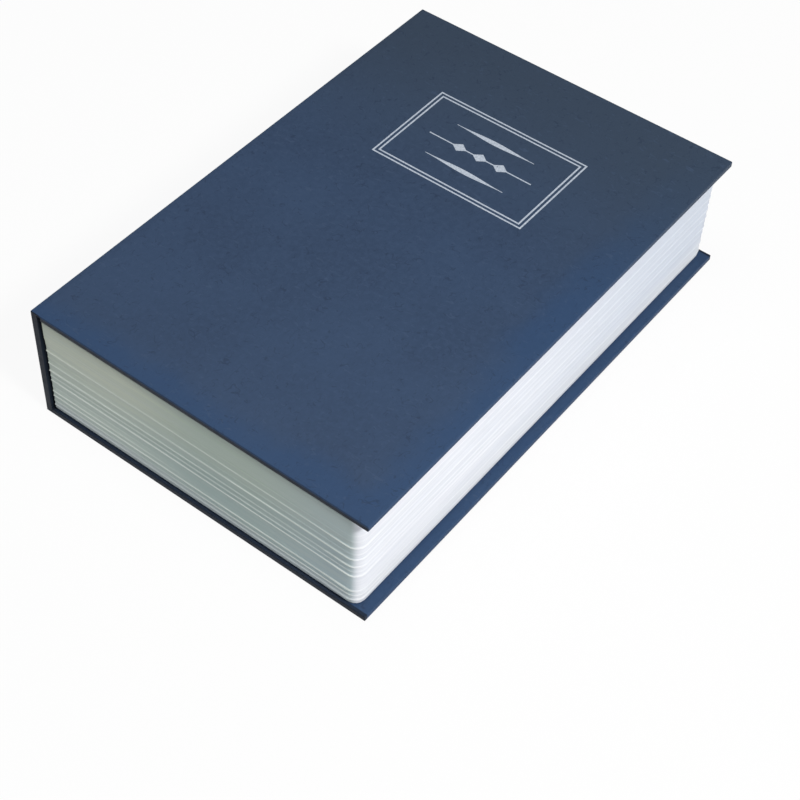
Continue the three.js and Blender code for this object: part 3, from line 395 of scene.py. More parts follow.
def crest_highlight(f, relief, on_fore, z):
    """How strongly a painted highlight shows on a leaf crest, drawn sharper low on the tail and the head."""
    low = f.times(f.between(z, 26, 20), f.less(1.0, on_fore))
    drawn = f.times(f.times(f.ramp(relief, 0.08, 0.42), 0.8), low)
    pale = f.larger(f.ramp(relief, 0.12, 0.75, 0.0, 0.8), drawn)
    return f.times(pale, f.between(z, 4.5, 9, 0.25, 1.0))


def page_plastic():
    """Moulded page edges: cloudy, with fine leaf lines, painted highlights on the crests and painted shade in
    the hollows.
    """
    f = Finish("moulded page plastic", specular=0.35)
    x, y, z = f.axes()
    on_fore = f.between(x, 70.2, 73.4)
    relief = f.attribute("relief")
    outside = f.ramp(f.attribute("outside"), 0.86, 1.0)
    fine = f.noise(100, 3, 0.6, 0.3, f.stretched((0.22, 0.22, 22.0)))
    cloud = f.noise(30, 3, 0.6, 0.2, f.stretched((0.18, 0.18, 4.5)))
    fore = fore_pages(f, y, z, cloud)
    base = f.mix(on_fore, shaded_tail_pages(f, x, z, cloud), fore)
    hollow = f.mix(on_fore, TAIL_HOLLOW_SHADE, FORE_HOLLOW_SHADE)
    crest = f.mix(on_fore, TAIL_CREST_HIGHLIGHT, f.mix(0.4, fore, FORE_CREST_HIGHLIGHT))
    # Painted shade in the hollows between the crests.
    base = f.mix(f.ramp(relief, 0.3, 0.0, 0.0, 0.25), base, hollow)
    # Painted highlights on the crests.
    base = f.mix(crest_highlight(f, relief, on_fore, z), base, crest)
    leaf_lines = f.times(f.ramp(fine, 0.38, 0.62, 1.0, 0.0), f.ramp(on_fore, 0.0, 1.0, 0.42, 0.3))
    base = f.mix(leaf_lines, base, hollow)
    f.colour(f.mix(outside, PAGE_WHITE, base))
    f.roughness(f.ramp(fine, 0.3, 0.7, 0.45, 0.6))
    f.bump(fine, 0.12, 0.7)
    f.bump(f.noise(260, 3, 0.6), 0.06, 0.3)
    return f.material


# Foil, metals and plastic

def silver_foil():
    f = Finish("silver foil", metallic=0.45)
    grain = f.noise(1200, 3, 0.6)
    worn = f.noise(320, 4, 0.7)
    base = f.mix(f.ramp(grain, 0.35, 0.65), (0.60, 0.68, 0.80), (0.78, 0.85, 0.96))
    f.colour(f.mix(f.ramp(worn, 0.66, 0.74), base, (0.16, 0.20, 0.28)))
    f.roughness(f.ramp(grain, 0.2, 0.8, 0.38, 0.58))
    f.bump(grain, 0.04, 0.4)
    return f.material


def coated_steel():
    f = Finish("grey coated steel", metallic=0.25, specular=0.45)
    peel = f.noise(1150, 2, 0.5)
    grain = f.noise(3200, 2, 0.5)
    cloud = f.noise(28, 2, 0.5)
    base = f.mix(f.ramp(cloud, 0.3, 0.7), (0.105, 0.107, 0.118), (0.118, 0.120, 0.130))
    f.colour(f.mix(f.ramp(grain, 0.35, 0.7), base, (0.145, 0.147, 0.158)))
    f.roughness(f.ramp(peel, 0.3, 0.7, 0.43, 0.50))
    f.bump(peel, 0.014, 0.35)
    f.bump(grain, 0.006, 0.5)
    return f.material


def bright_metal(name, dark, light, rough, brushed=(1, 1, 1), metallic=1.0, plated_above=None):
    """Bare or plated metal, plated white above a height in millimetres where one is given."""
    f = Finish(name, metallic=metallic)
    lines = f.noise(900, 3, 0.6, 0.0, f.stretched(brushed))
    smear = f.noise(160, 3, 0.6)
    base = f.mix(f.ramp(lines, 0.3, 0.7), dark, light)
    if plated_above is not None:
        _, _, z = f.axes()
        base = f.mix(f.between(z, plated_above, plated_above + 0.1), base, (0.75, 0.75, 0.77))
    f.colour(base)
    f.roughness(f.ramp(smear, 0.3, 0.75, rough * 0.8, rough * 1.3))
    f.bump(lines, 0.01, 0.4)
    return f.material


def key_metal():
    """Nickel of the two blades, finely drawn along the line that both keys lie on."""
    f = Finish("key nickel", metallic=0.75)
    lines = f.noise(1100, 3, 0.6, 0.0, f.stretched((1, 0.05, 1), (0, 0, math.radians(-KEYS_TURN))))
    f.colour(f.mix(f.ramp(lines, 0.3, 0.7), (0.76, 0.75, 0.72), (0.90, 0.89, 0.86)))
    f.roughness(f.ramp(f.noise(260, 3, 0.6), 0.3, 0.75, 0.26, 0.38))
    f.bump(lines, 0.006, 0.3)
    return f.material


def black_plastic():
    f = Finish("black moulded plastic")
    grain = f.noise(2400, 3, 0.6)
    f.colour(f.mix(f.ramp(grain, 0.3, 0.7), (0.010, 0.010, 0.012), (0.020, 0.020, 0.023)))
    f.roughness(f.ramp(grain, 0.3, 0.7, 0.34, 0.5))
    f.bump(grain, 0.03, 0.5)
    return f.material


BRASS_DARK, BRASS_LIGHT = (0.50, 0.34, 0.13), (0.64, 0.46, 0.20)

COVERING = covering_paper()
LINING = white_paper("white lining paper", "rest_place")
ENDPAPER = white_paper("white endpaper", "Object")
BOARD = grey_board()
PAGES = page_plastic()
FOIL = silver_foil()
STEEL = coated_steel()
PLATED = bright_metal("plated steel", (0.52, 0.52, 0.53), (0.66, 0.66, 0.68), 0.32, (1, 0.15, 1))
CHROME = bright_metal("lock chrome", (0.70, 0.70, 0.72), (0.80, 0.80, 0.82), 0.19)
BRASS = bright_metal("lock brass", BRASS_DARK, BRASS_LIGHT, 0.26)
BARREL = bright_metal("plated brass", BRASS_DARK, BRASS_LIGHT, 0.2, plated_above=PLATED_ABOVE)
SPRING = bright_metal("spring steel", (0.42, 0.42, 0.44), (0.58, 0.58, 0.60), 0.25)
NICKEL = bright_metal("ring nickel", (0.74, 0.73, 0.70), (0.88, 0.87, 0.84), 0.26, (1, 0.2, 1), 0.8)
KEY_METAL = key_metal()
PLASTIC = black_plastic()


# Mesh work

def object_of(mesh, name, material=None):
    made = bpy.data.objects.new(name, mesh)
    bpy.context.scene.collection.objects.link(made)
    if material:
        made.data.materials.clear()
        made.data.materials.append(material)
    return made


def mesh_of(bm, name):
    """A mesh from a bmesh, which is freed."""
    mesh = bpy.data.meshes.new(name)
    bm.to_mesh(mesh)
    bm.free()
    return mesh


def box_mesh(x0, x1, y0, y1, z0, z1):
    bm = bmesh.new()
    bmesh.ops.create_cube(bm, size=1.0)
    scale = Matrix.Diagonal(((x1 - x0) * MM, (y1 - y0) * MM, (z1 - z0) * MM, 1))
    centre = Matrix.Translation(Vector(((x0 + x1) / 2, (y0 + y1) / 2, (z0 + z1) / 2)) * MM)
    bmesh.ops.transform(bm, matrix=centre @ scale, verts=bm.verts)
    return mesh_of(bm, "box")


def slab(x0, x1, half, z0, z1):
    """A box that reaches as far towards the tail as towards the head."""
    return box_mesh(x0, x1, -half, half, z0, z1)


def prism(outline, half):
    """A bmesh of an outline in X and Z, in millimetres, drawn as far to the tail as to the head."""
    bm = bmesh.new()
    near = [bm.verts.new((x * MM, -half * MM, z * MM)) for x, z in outline]
    far = [bm.verts.new((x * MM, half * MM, z * MM)) for x, z in outline]
    bm.faces.new(near)
    bm.faces.new(list(reversed(far)))
    count = len(outline)
    for i in range(count):
        j = (i + 1) % count
        bm.faces.new((near[j], near[i], far[i], far[j]))
    bmesh.ops.recalc_face_normals(bm, faces=bm.faces)
    return bm


def evaluated(obj):
    """Plain mesh of an object with its modifiers applied; the object itself goes."""
    bpy.context.view_layer.update()
    graph = bpy.context.evaluated_depsgraph_get()
    mesh = bpy.data.meshes.new_from_object(obj.evaluated_get(graph))
    bpy.data.objects.remove(obj)
    return mesh


def cut(mesh, cutters):
    """The mesh less each cutter mesh."""
    body = object_of(mesh, "being cut")
    tools = [object_of(c, "cutter") for c in cutters]
    for tool in tools:
        step = body.modifiers.new("cut", "BOOLEAN")
        step.operation = "DIFFERENCE"
        step.solver = "EXACT"
        step.object = tool
    made = evaluated(body)
    for tool in tools:
        bpy.data.objects.remove(tool)
    return made


def merged_copy(node):
    """A CAD node's mesh with its doubles merged and its flat faces whole."""
    bm = bmesh.new()
    bm.from_mesh(nodes[node].data)
    bmesh.ops.remove_doubles(bm, verts=bm.verts, dist=SAME_POINT)
    bmesh.ops.dissolve_limit(
        bm, angle_limit=FLAT_ANGLE, verts=bm.verts, edges=bm.edges, use_dissolve_boundaries=False
    )
    return mesh_of(bm, node)


def heightened(mesh, down, up):
    """The mesh with its lower half moved down and its upper half moved up, for use as a cutter."""
    heights = [v.co.z for v in mesh.vertices]
    middle = (min(heights) + max(heights)) / 2
    for v in mesh.vertices:
        v.co.z += (up if v.co.z > middle else -down) * MM
    return mesh


def shade(mesh, angle):
    """Smooth shading, with every edge sharper than the angle kept sharp."""
    bm = bmesh.new()
    bm.from_mesh(mesh)
    for face in bm.faces:
        face.smooth = True
    for edge in bm.edges:
        edge.smooth = len(edge.link_faces) == 2 and edge.calc_face_angle(0) < math.radians(angle)
    bm.to_mesh(mesh)
    bm.free()


def keep_rest_place(mesh):
    """Writes each point's place into the mesh, for a pattern that stays put on a bending sheet."""
    places = mesh.attributes.new("rest_place", "FLOAT_VECTOR", "POINT")
    co = np.zeros(len(mesh.vertices) * 3, np.float32)
    mesh.vertices.foreach_get("co", co)
    places.data.foreach_set("vector", co)


def round_edges(bm, chosen, width):
    bmesh.ops.bevel(
        bm,
        geom=[e for e in bm.edges if chosen(e)],
        offset=width * MM,
        segments=3,
        profile=0.5,
        affect="EDGES",
        clamp_overlap=True,
    )


def slice_across(bm, places):
    """Adds an edge loop at each place along X, in millimetres."""
    across = Vector((1, 0, 0))
    for place in places:
        bmesh.ops.bisect_plane(
            bm,
            geom=bm.verts[:] + bm.edges[:] + bm.faces[:],
            plane_co=across * place * MM,
            plane_no=across,
        )


# Binding

FOIL_NODES = (
    "foil_outer_rule",
    "foil_inner_rule",
    "foil_upper_swell",
    "foil_lower_swell",
    "foil_diamond_band",
)


def on_front_outside(edge):
    """True for an outer edge whose two faces both belong to the outside of the front covering."""
    for face in edge.link_faces:
        n, c = face.normal, face.calc_center_median() / MM
        top = n.z > FACING and c.z > THICKNESS - NEAR
        spine = n.x < -FACING and c.x < SPINE_X + NEAR
        ends = abs(n.y) > FACING
        fore = n.x > FACING and c.x > FORE_X - NEAR
        under = n.z < -FACING and abs(c.z - COVER_BOTTOM) < NEAR and c.x > COVER_START_X
        if not (top or spine or ends or fore or under):
            return False
    return edge.calc_face_angle_signed(0) > OUTER_FOLD


def on_back_outside(edge):
    """True for an outer edge at the foot, the fore edge, or the upper rim of the back covering's ends."""
    middle = (edge.verts[0].co + edge.verts[1].co) / 2 / MM
    low = middle.z < NEAR
    fore = middle.x > FORE_X - NEAR
    end = abs(middle.y) > HALF_HEIGHT - NEAR and middle.z > COVER - NEAR
    return (low or fore or end) and edge.calc_face_angle_signed(0) > OUTER_FOLD


def front_covering():
    """Covering paper of the front cover, the joint and the spine, hollow where boards and foil lie."""
    outline = [
        (SPINE_X, PAPER),
        (SPINE_INNER_X + 0.3, PAPER),
        (SPINE_INNER_X + 0.3, THICKNESS - 2 * PAPER),
        (COVER_START_X, THICKNESS - 2 * PAPER),
        (COVER_START_X, COVER_BOTTOM),
        (FORE_X, COVER_BOTTOM),
        (FORE_X, THICKNESS),
        (SPINE_X, THICKNESS),
    ]
    bm = prism(outline, HALF_HEIGHT)
    round_edges(bm, on_front_outside, FRONT_ROUND)
    slice_across(bm, [SPINE_INNER_X + 0.5 + BEND_STEP * i for i in range(BEND_LOOPS)])
    board_half = HALF_HEIGHT - PAPER
    board_top = THICKNESS - PAPER
    window_half = HALF_HEIGHT - TURN_IN
    front_board = slab(COVER_START_X - 0.3, FORE_X - PAPER, board_half, COVER_BOTTOM + PAPER, board_top)
    window = slab(COVER_START_X - 0.3, FORE_X - TURN_IN, window_half, COVER_BOTTOM - 0.4, COVER_BOTTOM + 0.5)
    spine_board = slab(SPINE_X + PAPER, SPINE_INNER_X, board_half, 0, board_top)
    spine_window = slab(SPINE_INNER_X - 0.2, SPINE_INNER_X + 0.5, JOINT_HALF + 0.1, 0, board_top)
    joint_dip = slab(
        SPINE_INNER_X - 0.5, COVER_START_X + 0.5, JOINT_HALF + 0.3, board_top - 0.65, board_top
    )
    cutters = [front_board, window, spine_board, spine_window, joint_dip]
    cutters += [heightened(merged_copy(node), 0.02, 0.4) for node in FOIL_NODES]
    mesh = cut(mesh_of(bm, "front covering"), cutters)
    shade(mesh, SMOOTH_SOLID)
    keep_rest_place(mesh)
    piece = object_of(mesh, "front_covering", COVERING)
    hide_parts("front_cover_paper", "cover_joint_paper", "spine_paper")
    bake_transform(piece)


def back_covering():
    """Covering paper of the back cover, with the window that its turned-in edges leave."""
    inner_x = SPINE_INNER_X + 0.05
    outline = [
        (SPINE_X, 0),
        (FORE_X, 0),
        (FORE_X, COVER),
        (inner_x, COVER),
        (inner_x, PAPER),
        (SPINE_X, PAPER),
    ]
    bm = prism(outline, HALF_HEIGHT)
    round_edges(bm, on_back_outside, BACK_ROUND)
    board = slab(inner_x - 0.8, FORE_X - PAPER, HALF_HEIGHT - PAPER, PAPER, COVER - PAPER)
    window = slab(inner_x - 0.8, FORE_X - TURN_IN, HALF_HEIGHT - TURN_IN, COVER - 0.5, COVER + 0.5)
    mesh = cut(mesh_of(bm, "back covering"), [board, window])
    shade(mesh, SMOOTH_SOLID)
    keep_rest_place(mesh)
    piece = object_of(mesh, "back_covering", COVERING)
    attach(piece, "case")
    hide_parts("back_cover_paper")


def joint_lining():
    """White lining strip that dips into the cover joint and runs on under the cover."""
    path = [(-75.6, 3.3), (-75.6, 1.1), (-75.52, 0.8), (-75.35, 0.58), (-75.05, 0.47)]
    path += [(-74.65, 0.45), (-74.3, 0.47), (-73.97, 0.58), (-73.78, 0.8), (-73.66, 1.1)]
    path += [(-73.65, 2.4), (-73.6, 2.64), (-73.45, 2.8), (-73.2, 2.85), (-70.65, 2.85)]
    path = [(x, THICKNESS - depth) for x, depth in path]
    sides = []
    for i in range(len(path)):
        before, after = path[max(i - 1, 0)], path[min(i + 1, len(path) - 1)]
        dx, dz = after[0] - before[0], after[1] - before[1]
        size = math.hypot(dx, dz)
        sides.append((-dz / size * LINING_HALF, dx / size * LINING_HALF))
    outline = [(x + s[0], z + s[1]) for (x, z), s in zip(path, sides)]
    outline += [(x - s[0], z - s[1]) for (x, z), s in reversed(list(zip(path, sides)))]
    mesh = mesh_of(prism(outline, JOINT_HALF), "joint lining")
    shade(mesh, SMOOTH_MOULDED)
    keep_rest_place(mesh)
    piece = object_of(mesh, "joint_lining", LINING)
    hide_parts("inner_joint_paper")
    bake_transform(piece)


def spine_lining():
    """White sheet inside the spine, short of the head and the tail."""
    x = SPINE_INNER_X + 0.05
    mesh = slab(x, x + 2 * LINING_HALF, JOINT_HALF - 0.1, PAGE_LOW + 0.1, PAGE_HIGH - 0.05)
    piece = object_of(mesh, "spine_inner_lining", ENDPAPER)
    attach(piece, "case")
    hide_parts("spine_lining")


front_covering()
back_covering()
joint_lining()
spine_lining()


# Page block

class Moulding(Nodes):
    """A geometry node tree with named inputs for its sizes."""

    def __init__(self, name):
        super().__init__(bpy.data.node_groups.new(name, "GeometryNodeTree"))
        for way in ("INPUT", "OUTPUT"):
            self.tree.interface.new_socket("Geometry", in_out=way, socket_type="NodeSocketGeometry")
        self.start = self.node("NodeGroupInput")
        self.end = self.node("NodeGroupOutput")
        self.sizes = {}

    def input(self, name, value):
        made = self.tree.interface.new_socket(name, in_out="INPUT", socket_type="NodeSocketFloat")
        self.sizes[made.identifier] = value
        return self.start.outputs[name]

    def add(self, kind, settings=None, **inputs):
        """A node with its settings, and its inputs by name with _ for a space."""
        made = self.node(kind, **(settings or {}))
        for key, value in inputs.items():
            self.plug(made.inputs[key.replace("_", " ")], value)
        return made

    def vector(self, operation, a, b):
        made = self.node("ShaderNodeVectorMath", operation=operation)
        self.plug(made.inputs[0], a)
        self.plug(made.inputs[1], b)
        return made.outputs["Vector"]

    def point(self, **axes):
        return self.add("ShaderNodeCombineXYZ", **axes).outputs[0]

    def unit(self, a):
        return self.add("ShaderNodeVectorMath", {"operation": "NORMALIZE"}, Vector=a).outputs["Vector"]

    def scaled(self, a, amount):
        made = self.add("ShaderNodeVectorMath", {"operation": "SCALE"}, Vector=a, Scale=amount)
        return made.outputs["Vector"]

    def noise(self, place, seed):
        """Slow noise from 0 to 1, another for each seed."""
        made = self.add(
            "ShaderNodeTexNoise",
            {"noise_dimensions": "4D"},
            Vector=place,
            W=seed,
            Scale=WAVES_PER_METRE,
            Detail=2.0,
        )
        return made.outputs[0]

    def marked(self, geometry, name, value):
        """The geometry with a number kept on its points."""
        made = self.add(
            "GeometryNodeStoreNamedAttribute",
            {"data_type": "FLOAT", "domain": "POINT"},
            Geometry=geometry,
            Name=name,
            Value=value,
        )
        return made.outputs[0]

    def finish(self, geometry, material):
        real = self.add("GeometryNodeRealizeInstances", Geometry=geometry)
        paint = self.add("GeometryNodeSetMaterial", Geometry=real.outputs[0], Material=material)
        self.plug(self.end.inputs[0], paint.outputs[0])

    def grow(self, mesh):
        """Runs the tree on a mesh and gives back the plain mesh that it makes."""
        holder = object_of(mesh, "grown")
        step = holder.modifiers.new("shape", "NODES")
        step.node_group = self.tree
        for identifier, value in self.sizes.items():
            step[identifier] = value
        return evaluated(holder)


def page_path():
    """The outline of the page block's tail, fore edge and head, seen from above."""
    centre_x, centre_y = PAGE_FORE_X - PAGE_CORNER, PAGE_HALF - PAGE_CORNER
    points = [(PAGE_SPINE_X, -PAGE_HALF)]
    for start, y in ((-90, -centre_y), (0, centre_y)):
        for i in range(CORNER_STEPS + 1):
            a = math.radians(start + 90 * i / CORNER_STEPS)
            points.append((centre_x + PAGE_CORNER * math.cos(a), y + PAGE_CORNER * math.sin(a)))
    points.append((PAGE_SPINE_X, PAGE_HALF))
    mesh = bpy.data.meshes.new("page path")
    verts = [(x * MM, y * MM, 0) for x, y in points]
    mesh.from_pydata(verts, [(i, i + 1) for i in range(len(verts) - 1)], [])
    return mesh


def crest_ridges(t, spot, level, from_middle):
    """How strongly a leaf crest stands at each point, boldest round the fore corners."""
    corner = t.ramp(t.size(t.less(from_middle, CORNER_SHARE)), 0.055, 0.012)
    ridge = 0.0
    for i, crest in enumerate(CRESTS + FAINT_CRESTS):
        bold = crest in CRESTS
        weakest, strongest = (0.5, 1.0) if bold else (0.0, 0.6)
        strength = t.ramp(t.noise(spot, 7.0 + 5 * i), 0.35, 0.62, weakest, strongest)
        if bold:
            strength = t.larger(strength, corner)
        from_crest = t.size(t.less(level, crest * MM))
        ridge = t.larger(ridge, t.times(t.between(from_crest, CREST_REACH, 0), strength))
    return t.times(ridge, t.between(level, 35, 43, 1.0, 0.3))


def face_depth(t, ridge, swell, level, from_middle):
    """How far the face lies back between the crests, as a share of the groove depth."""
    relief = t.plus(t.times(ridge, 0.7), t.times(t.ramp(swell, 0.35, 0.68), 0.3))
    shallow_top = t.between(level, 38, 45, 1.0, 0.35)
    shallow_fore = t.ramp(from_middle, CORNER_SHARE - 0.01, CORNER_SHARE + 0.01, 0.5, 1.0)
    return t.times(t.less(1.0, relief), t.times(shallow_top, shallow_fore))


def page_tree():
    """A grid wrapped along the path: up the outer face, across the rim, down the inner wall and back."""
    t = Moulding("page edge moulding")
    low = t.input("Foot", PAGE_LOW * MM)
    high = t.input("Top", PAGE_HIGH * MM)
    wall = t.input("Wall", PAGE_WALL * MM)
    depth = t.input("Groove depth", GROOVE_DEPTH * MM)
    seed = t.input("Seed", 4.0)
    rows = PAGE_ROWS + 3
    grid = t.add("GeometryNodeMeshGrid", Size_X=1.0, Size_Y=1.0, Vertices_X=PAGE_COLUMNS, Vertices_Y=rows + 1)
    place = t.node("GeometryNodeInputPosition").outputs[0]
    along, across, _ = t.add("ShaderNodeSeparateXYZ", Vector=place).outputs
    from_middle = t.size(along)

    # Place and outward direction on the path, for each column of the grid.
    curve = t.add("GeometryNodeMeshToCurve", Mesh=t.start.outputs[0])
    sample = t.node("GeometryNodeSampleCurve", mode="FACTOR")
    t.plug(sample.inputs[0], curve.outputs[0])
    t.plug(sample.inputs["Factor"], t.plus(along, 0.5))
    spot = sample.outputs["Position"]
    outward = t.unit(t.vector("CROSS_PRODUCT", sample.outputs["Tangent"], (0, 0, 1)))

    # Height of each row. The last two rows are the inner wall, and the one after them is the first again.
    row = t.maths("ROUND", t.times(t.plus(across, 0.5), float(rows)))
    row = t.maths("MODULO", row, float(rows))
    inner = t.maths("GREATER_THAN", row, PAGE_ROWS + 0.5)
    inner_foot = t.maths("COMPARE", row, float(PAGE_ROWS + 2), 0.5)
    share = t.smaller(t.maths("DIVIDE", row, float(PAGE_ROWS)), 1.0)
    share = t.times(share, t.less(1.0, inner_foot))
    z = t.plus(low, t.times(share, t.less(high, low)))

    # Crests wander a little up and down along the block, and come and go in strength.
    sway = t.times(t.less(t.noise(spot, seed), 0.5), SWAY * MM)
    second_sway = t.times(t.less(t.noise(spot, t.plus(seed, 3.0)), 0.5), SECOND_SWAY * MM)
    level = t.plus(z, t.plus(sway, second_sway))
    ridge = crest_ridges(t, spot, level, from_middle)

    # The face swells slowly from foot to top, nearly the same all along.
    stacked = t.vector("ADD", t.vector("MULTIPLY", spot, (0.02, 0.02, 0.0)), t.point(Z=level))
    groove = t.times(face_depth(t, ridge, t.noise(stacked, seed), level, from_middle), depth)

    # The rim and the foot have a small radius, and the inner wall lies a wall's thickness back.
    to_rim = t.smaller(t.less(high, z), t.less(z, low))
    back = t.plus(groove, t.between(to_rim, 0.5, 0, 0.0, 0.45 * MM))
    outside = t.less(1.0, inner)
    back = t.plus(t.times(back, outside), t.times(wall, inner))
    moved = t.vector("SUBTRACT", spot, t.scaled(outward, back))

    # The two ends stand a little further from the spine than the path does.
    at_end = t.ramp(from_middle, 0.4955, 0.5)
    inset = t.times(t.times(t.noise(t.point(Z=level), 11.0), at_end), 1.1 * MM)
    moved = t.vector("ADD", moved, t.point(X=inset, Z=z))

    face = t.marked(grid.outputs[0], "relief", t.times(outside, ridge))
    face = t.marked(face, "outside", outside)
    shaped = t.add("GeometryNodeSetPosition", Geometry=face, Position=moved)
    joined = t.add("GeometryNodeMergeByDistance", Geometry=shaped.outputs[0], Distance=SAME_POINT)
    t.finish(joined.outputs[0], PAGES)
    return t


def page_edges():
    """The moulded shell of page edges, with its two ends at the spine closed."""
    mesh = page_tree().grow(page_path())
    bm = bmesh.new()
    bm.from_mesh(mesh)
    rim = [e for e in bm.edges if len(e.link_faces) == 1]
    bmesh.ops.holes_fill(bm, edges=rim, sides=0)
    bmesh.ops.recalc_face_normals(bm, faces=bm.faces)
    bm.to_mesh(mesh)
    bm.free()
    shade(mesh, SMOOTH_MOULDED)
    piece = object_of(mesh, "page_edges", PAGES)
    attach(piece, "case")
    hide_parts("page_edge_shell")


page_edges()


# Steel box, hinge, lock and keys

# CAD node, piece, body, finish, slot, and the rounding's width in millimetres and its steps.
ROUNDED = [
    ("steel_tray", "box_tray", "case", STEEL, "grey_coated_steel", 0.3, 2),
    ("lid_rail", "lid_rail_strip", "case", STEEL, "grey_coated_steel", 0.3, 2),
    ("lock_catch", "catch_bracket", "case", STEEL, "grey_coated_steel", 0.3, 2),
    ("hinge_box_leaf", "box_hinge_leaf", "case", STEEL, "grey_coated_steel", 0.15, 2),
    ("hinge_pin", "hinge_rod", "case", PLATED, "plated_steel", 0.15, 2),
    ("lid_panel", "lid_sheet", "lid", STEEL, "grey_coated_steel", 0.35, 3),
    ("hinge_lid_leaf", "lid_hinge_leaf", "lid", STEEL, "grey_coated_steel", 0.15, 2),
    ("lock_body", "lock_housing", "lid", CHROME, "lock_chrome", 0.3, 3),
    ("lock_washer", "lock_spring_washer", "lid", PLATED, "plated_steel", 0.08, 2),
    ("lock_nut", "lock_fixing_nut", "lid", PLATED, "plated_steel", 0.25, 2),
    ("lock_plug", "lock_barrel", "lock_cylinder", BARREL, "lock_brass", 0.12, 2),
    ("cam", "lock_cam", "lock_cylinder", PLATED, "plated_steel", 0.2, 2),
    ("cam_washer", "cam_washer_ring", "lock_cylinder", PLATED, "plated_steel", 0.08, 2),
    ("cam_screw", "cam_screw_head", "lock_cylinder", PLATED, "plated_steel", 0.12, 2),
    ("key_ring", "split_ring", "case", NICKEL, "key_nickel", 0.1, 2),
    ("key_1_head", "key_1_bow", "case", PLASTIC, "black_plastic", 0.45, 3),
    ("key_2_head", "key_2_bow", "case", PLASTIC, "black_plastic", 0.45, 3),
    ("key_1_blade", "key_1_shank", "case", KEY_METAL, "key_nickel", 0.08, 2),
    ("key_2_blade", "key_2_shank", "case", KEY_METAL, "key_nickel", 0.08, 2),
]


def groove_cutters(side):
    """Thin blocks that mill the two grooves of one blade, from near its shoulder past its tip."""
    place = Matrix.Translation((KEYS_MIDDLE[0] * MM, KEYS_MIDDLE[1] * MM, 0))
    place = place @ Matrix.Rotation(math.radians(KEYS_TURN), 4, "Z")
    near, far = sorted((side * KEY_GROOVE_START, side * KEY_GROOVE_END))
    blocks = []
    for low, high in KEY_GROOVE_LEVELS:
        block = box_mesh(-KEY_GROOVE_HALF_WIDTH, KEY_GROOVE_HALF_WIDTH, near, far, low, high)
        block.transform(place)
        blocks.append(block)
    return blocks


def finish_from_solid(node, name, body, material, slot, width, segments):
    """A CAD node's own shape with its edges rounded, dressed in a finish."""
    mesh = merged_copy(node)
    if node in BLADE_SIDES:
        mesh = cut(mesh, groove_cutters(BLADE_SIDES[node]))
    rough = object_of(mesh, name, material)
    bevel = rough.modifiers.new("rounded edges", "BEVEL")
    bevel.width = width * MM
    bevel.segments = segments
    bevel.limit_method = "ANGLE"
    bevel.angle_limit = math.radians(ROUND_ABOVE)
    bevel.use_clamp_overlap = True
    bevel.harden_normals = False
    mesh = evaluated(rough)
    shade(mesh, SMOOTH_SOLID)
    piece = object_of(mesh, name, material)
    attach(piece, body)
    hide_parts(node)


for row in ROUNDED:
    finish_from_solid(*row)

# CAD nodes that stay as they are, with a finish of their own.
CARRIED = {
    "back_board": BOARD,
    "front_board": BOARD,
    "spine_board": BOARD,
    "rear_endpaper": ENDPAPER,
    "front_endpaper": ENDPAPER,
}
for node in FOIL_NODES:
    CARRIED[node] = FOIL
for number in range(1, WAFERS + 1):
    CARRIED[f"wafer_{number}"] = BRASS
    CARRIED[f"wafer_spring_{number}"] = SPRING
for node, material in CARRIED.items():
    nodes[node].data.materials.clear()
    nodes[node].data.materials.append(material)


# Floor, light and camera

def floor():
    """A pale floor that the camera and mirrors see nearly white, with the object's shadow kept."""
    material = bpy.data.materials.new("pale floor")
    material.use_nodes = True
    f = Nodes(material.node_tree)
    f.tree.nodes.clear()
    plain = f.node("ShaderNodeBsdfDiffuse")
    f.plug(plain.inputs["Color"], (0.86, 0.86, 0.86))
    white = f.node("ShaderNodeEmission")
    f.plug(white.inputs["Color"], (1, 1, 1))
    f.plug(white.inputs["Strength"], 1.0)
    path = f.node("ShaderNodeLightPath")
    seen = f.larger(path.outputs["Is Camera Ray"], path.outputs["Is Glossy Ray"])
    blend = f.node("ShaderNodeMixShader")
    f.plug(blend.inputs["Fac"], f.times(seen, FLOOR_WHITE))
    f.plug(blend.inputs[1], plain.outputs[0])
    f.plug(blend.inputs[2], white.outputs[0])
    f.plug(f.node("ShaderNodeOutputMaterial").inputs["Surface"], blend.outputs[0])
    piece = object_of(slab(-FLOOR_HALF, FLOOR_HALF, FLOOR_HALF, -FLOOR_THICKNESS, 0), "floor", material)


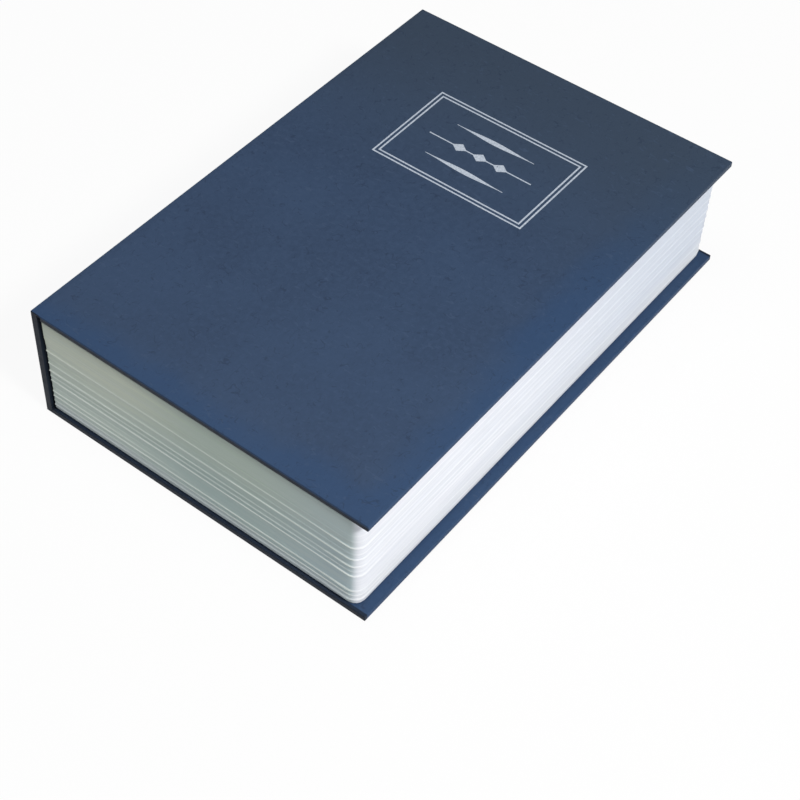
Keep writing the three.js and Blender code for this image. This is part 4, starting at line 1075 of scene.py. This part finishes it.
def world_light():
    """A soft fill from all round, which the camera sees as white."""
    world = bpy.data.worlds.new("studio")
    world.use_nodes = True
    bpy.context.scene.world = world
    w = Nodes(world.node_tree)
    w.tree.nodes.clear()
    blend = w.node("ShaderNodeMixShader")
    w.plug(blend.inputs["Fac"], w.node("ShaderNodeLightPath").outputs["Is Camera Ray"])
    for socket, colour, strength in ((1, (0.93, 0.97, 1.0), 0.19), (2, (1, 1, 1), 1.0)):
        source = w.node("ShaderNodeBackground")
        w.plug(source.inputs["Color"], colour)
        w.plug(source.inputs["Strength"], strength)
        w.plug(blend.inputs[socket], source.outputs[0])
    w.plug(w.node("ShaderNodeOutputWorld").inputs["Surface"], blend.outputs[0])


def soft_lamp(name, place, size, power, colour):
    """A round lamp, in metres and watts, that looks at the object."""
    lamp = bpy.data.lights.new(name, "AREA")
    lamp.shape = "DISK"
    lamp.size = size
    lamp.energy = power
    lamp.color = colour
    made = bpy.data.objects.new(name, lamp)
    bpy.context.scene.collection.objects.link(made)
    made.location = place
    made.rotation_euler = Vector(place).to_track_quat("Z", "Y").to_euler()


def camera():
    """The camera, turned to its azimuth, tilted down by its elevation and rolled a little."""
    data = bpy.data.cameras.new("camera")
    data.sensor_width = CAMERA_SENSOR
    data.lens = CAMERA_LENS
    data.clip_start, data.clip_end = 0.01, 50
    made = bpy.data.objects.new("camera", data)
    bpy.context.scene.collection.objects.link(made)
    turn = Matrix.Rotation(math.radians(CAMERA_AZIMUTH + 90), 4, "Z")
    tilt = Matrix.Rotation(math.radians(90 - CAMERA_ELEVATION), 4, "X")
    roll = Matrix.Rotation(math.radians(CAMERA_ROLL), 4, "Z")
    made.matrix_world = Matrix.Translation(Vector(CAMERA_PLACE) * MM) @ turn @ tilt @ roll
    bpy.context.scene.camera = made


floor()
world_light()
soft_lamp("key", (1.02, -0.22, 1.14), 0.3, 17.5, (1.0, 0.99, 0.96))
soft_lamp("overhead", (-0.35, -0.12, 1.4), 0.9, 5.5, (0.97, 0.98, 1.0))
camera()
bpy.context.scene.view_settings.view_transform = "Standard"
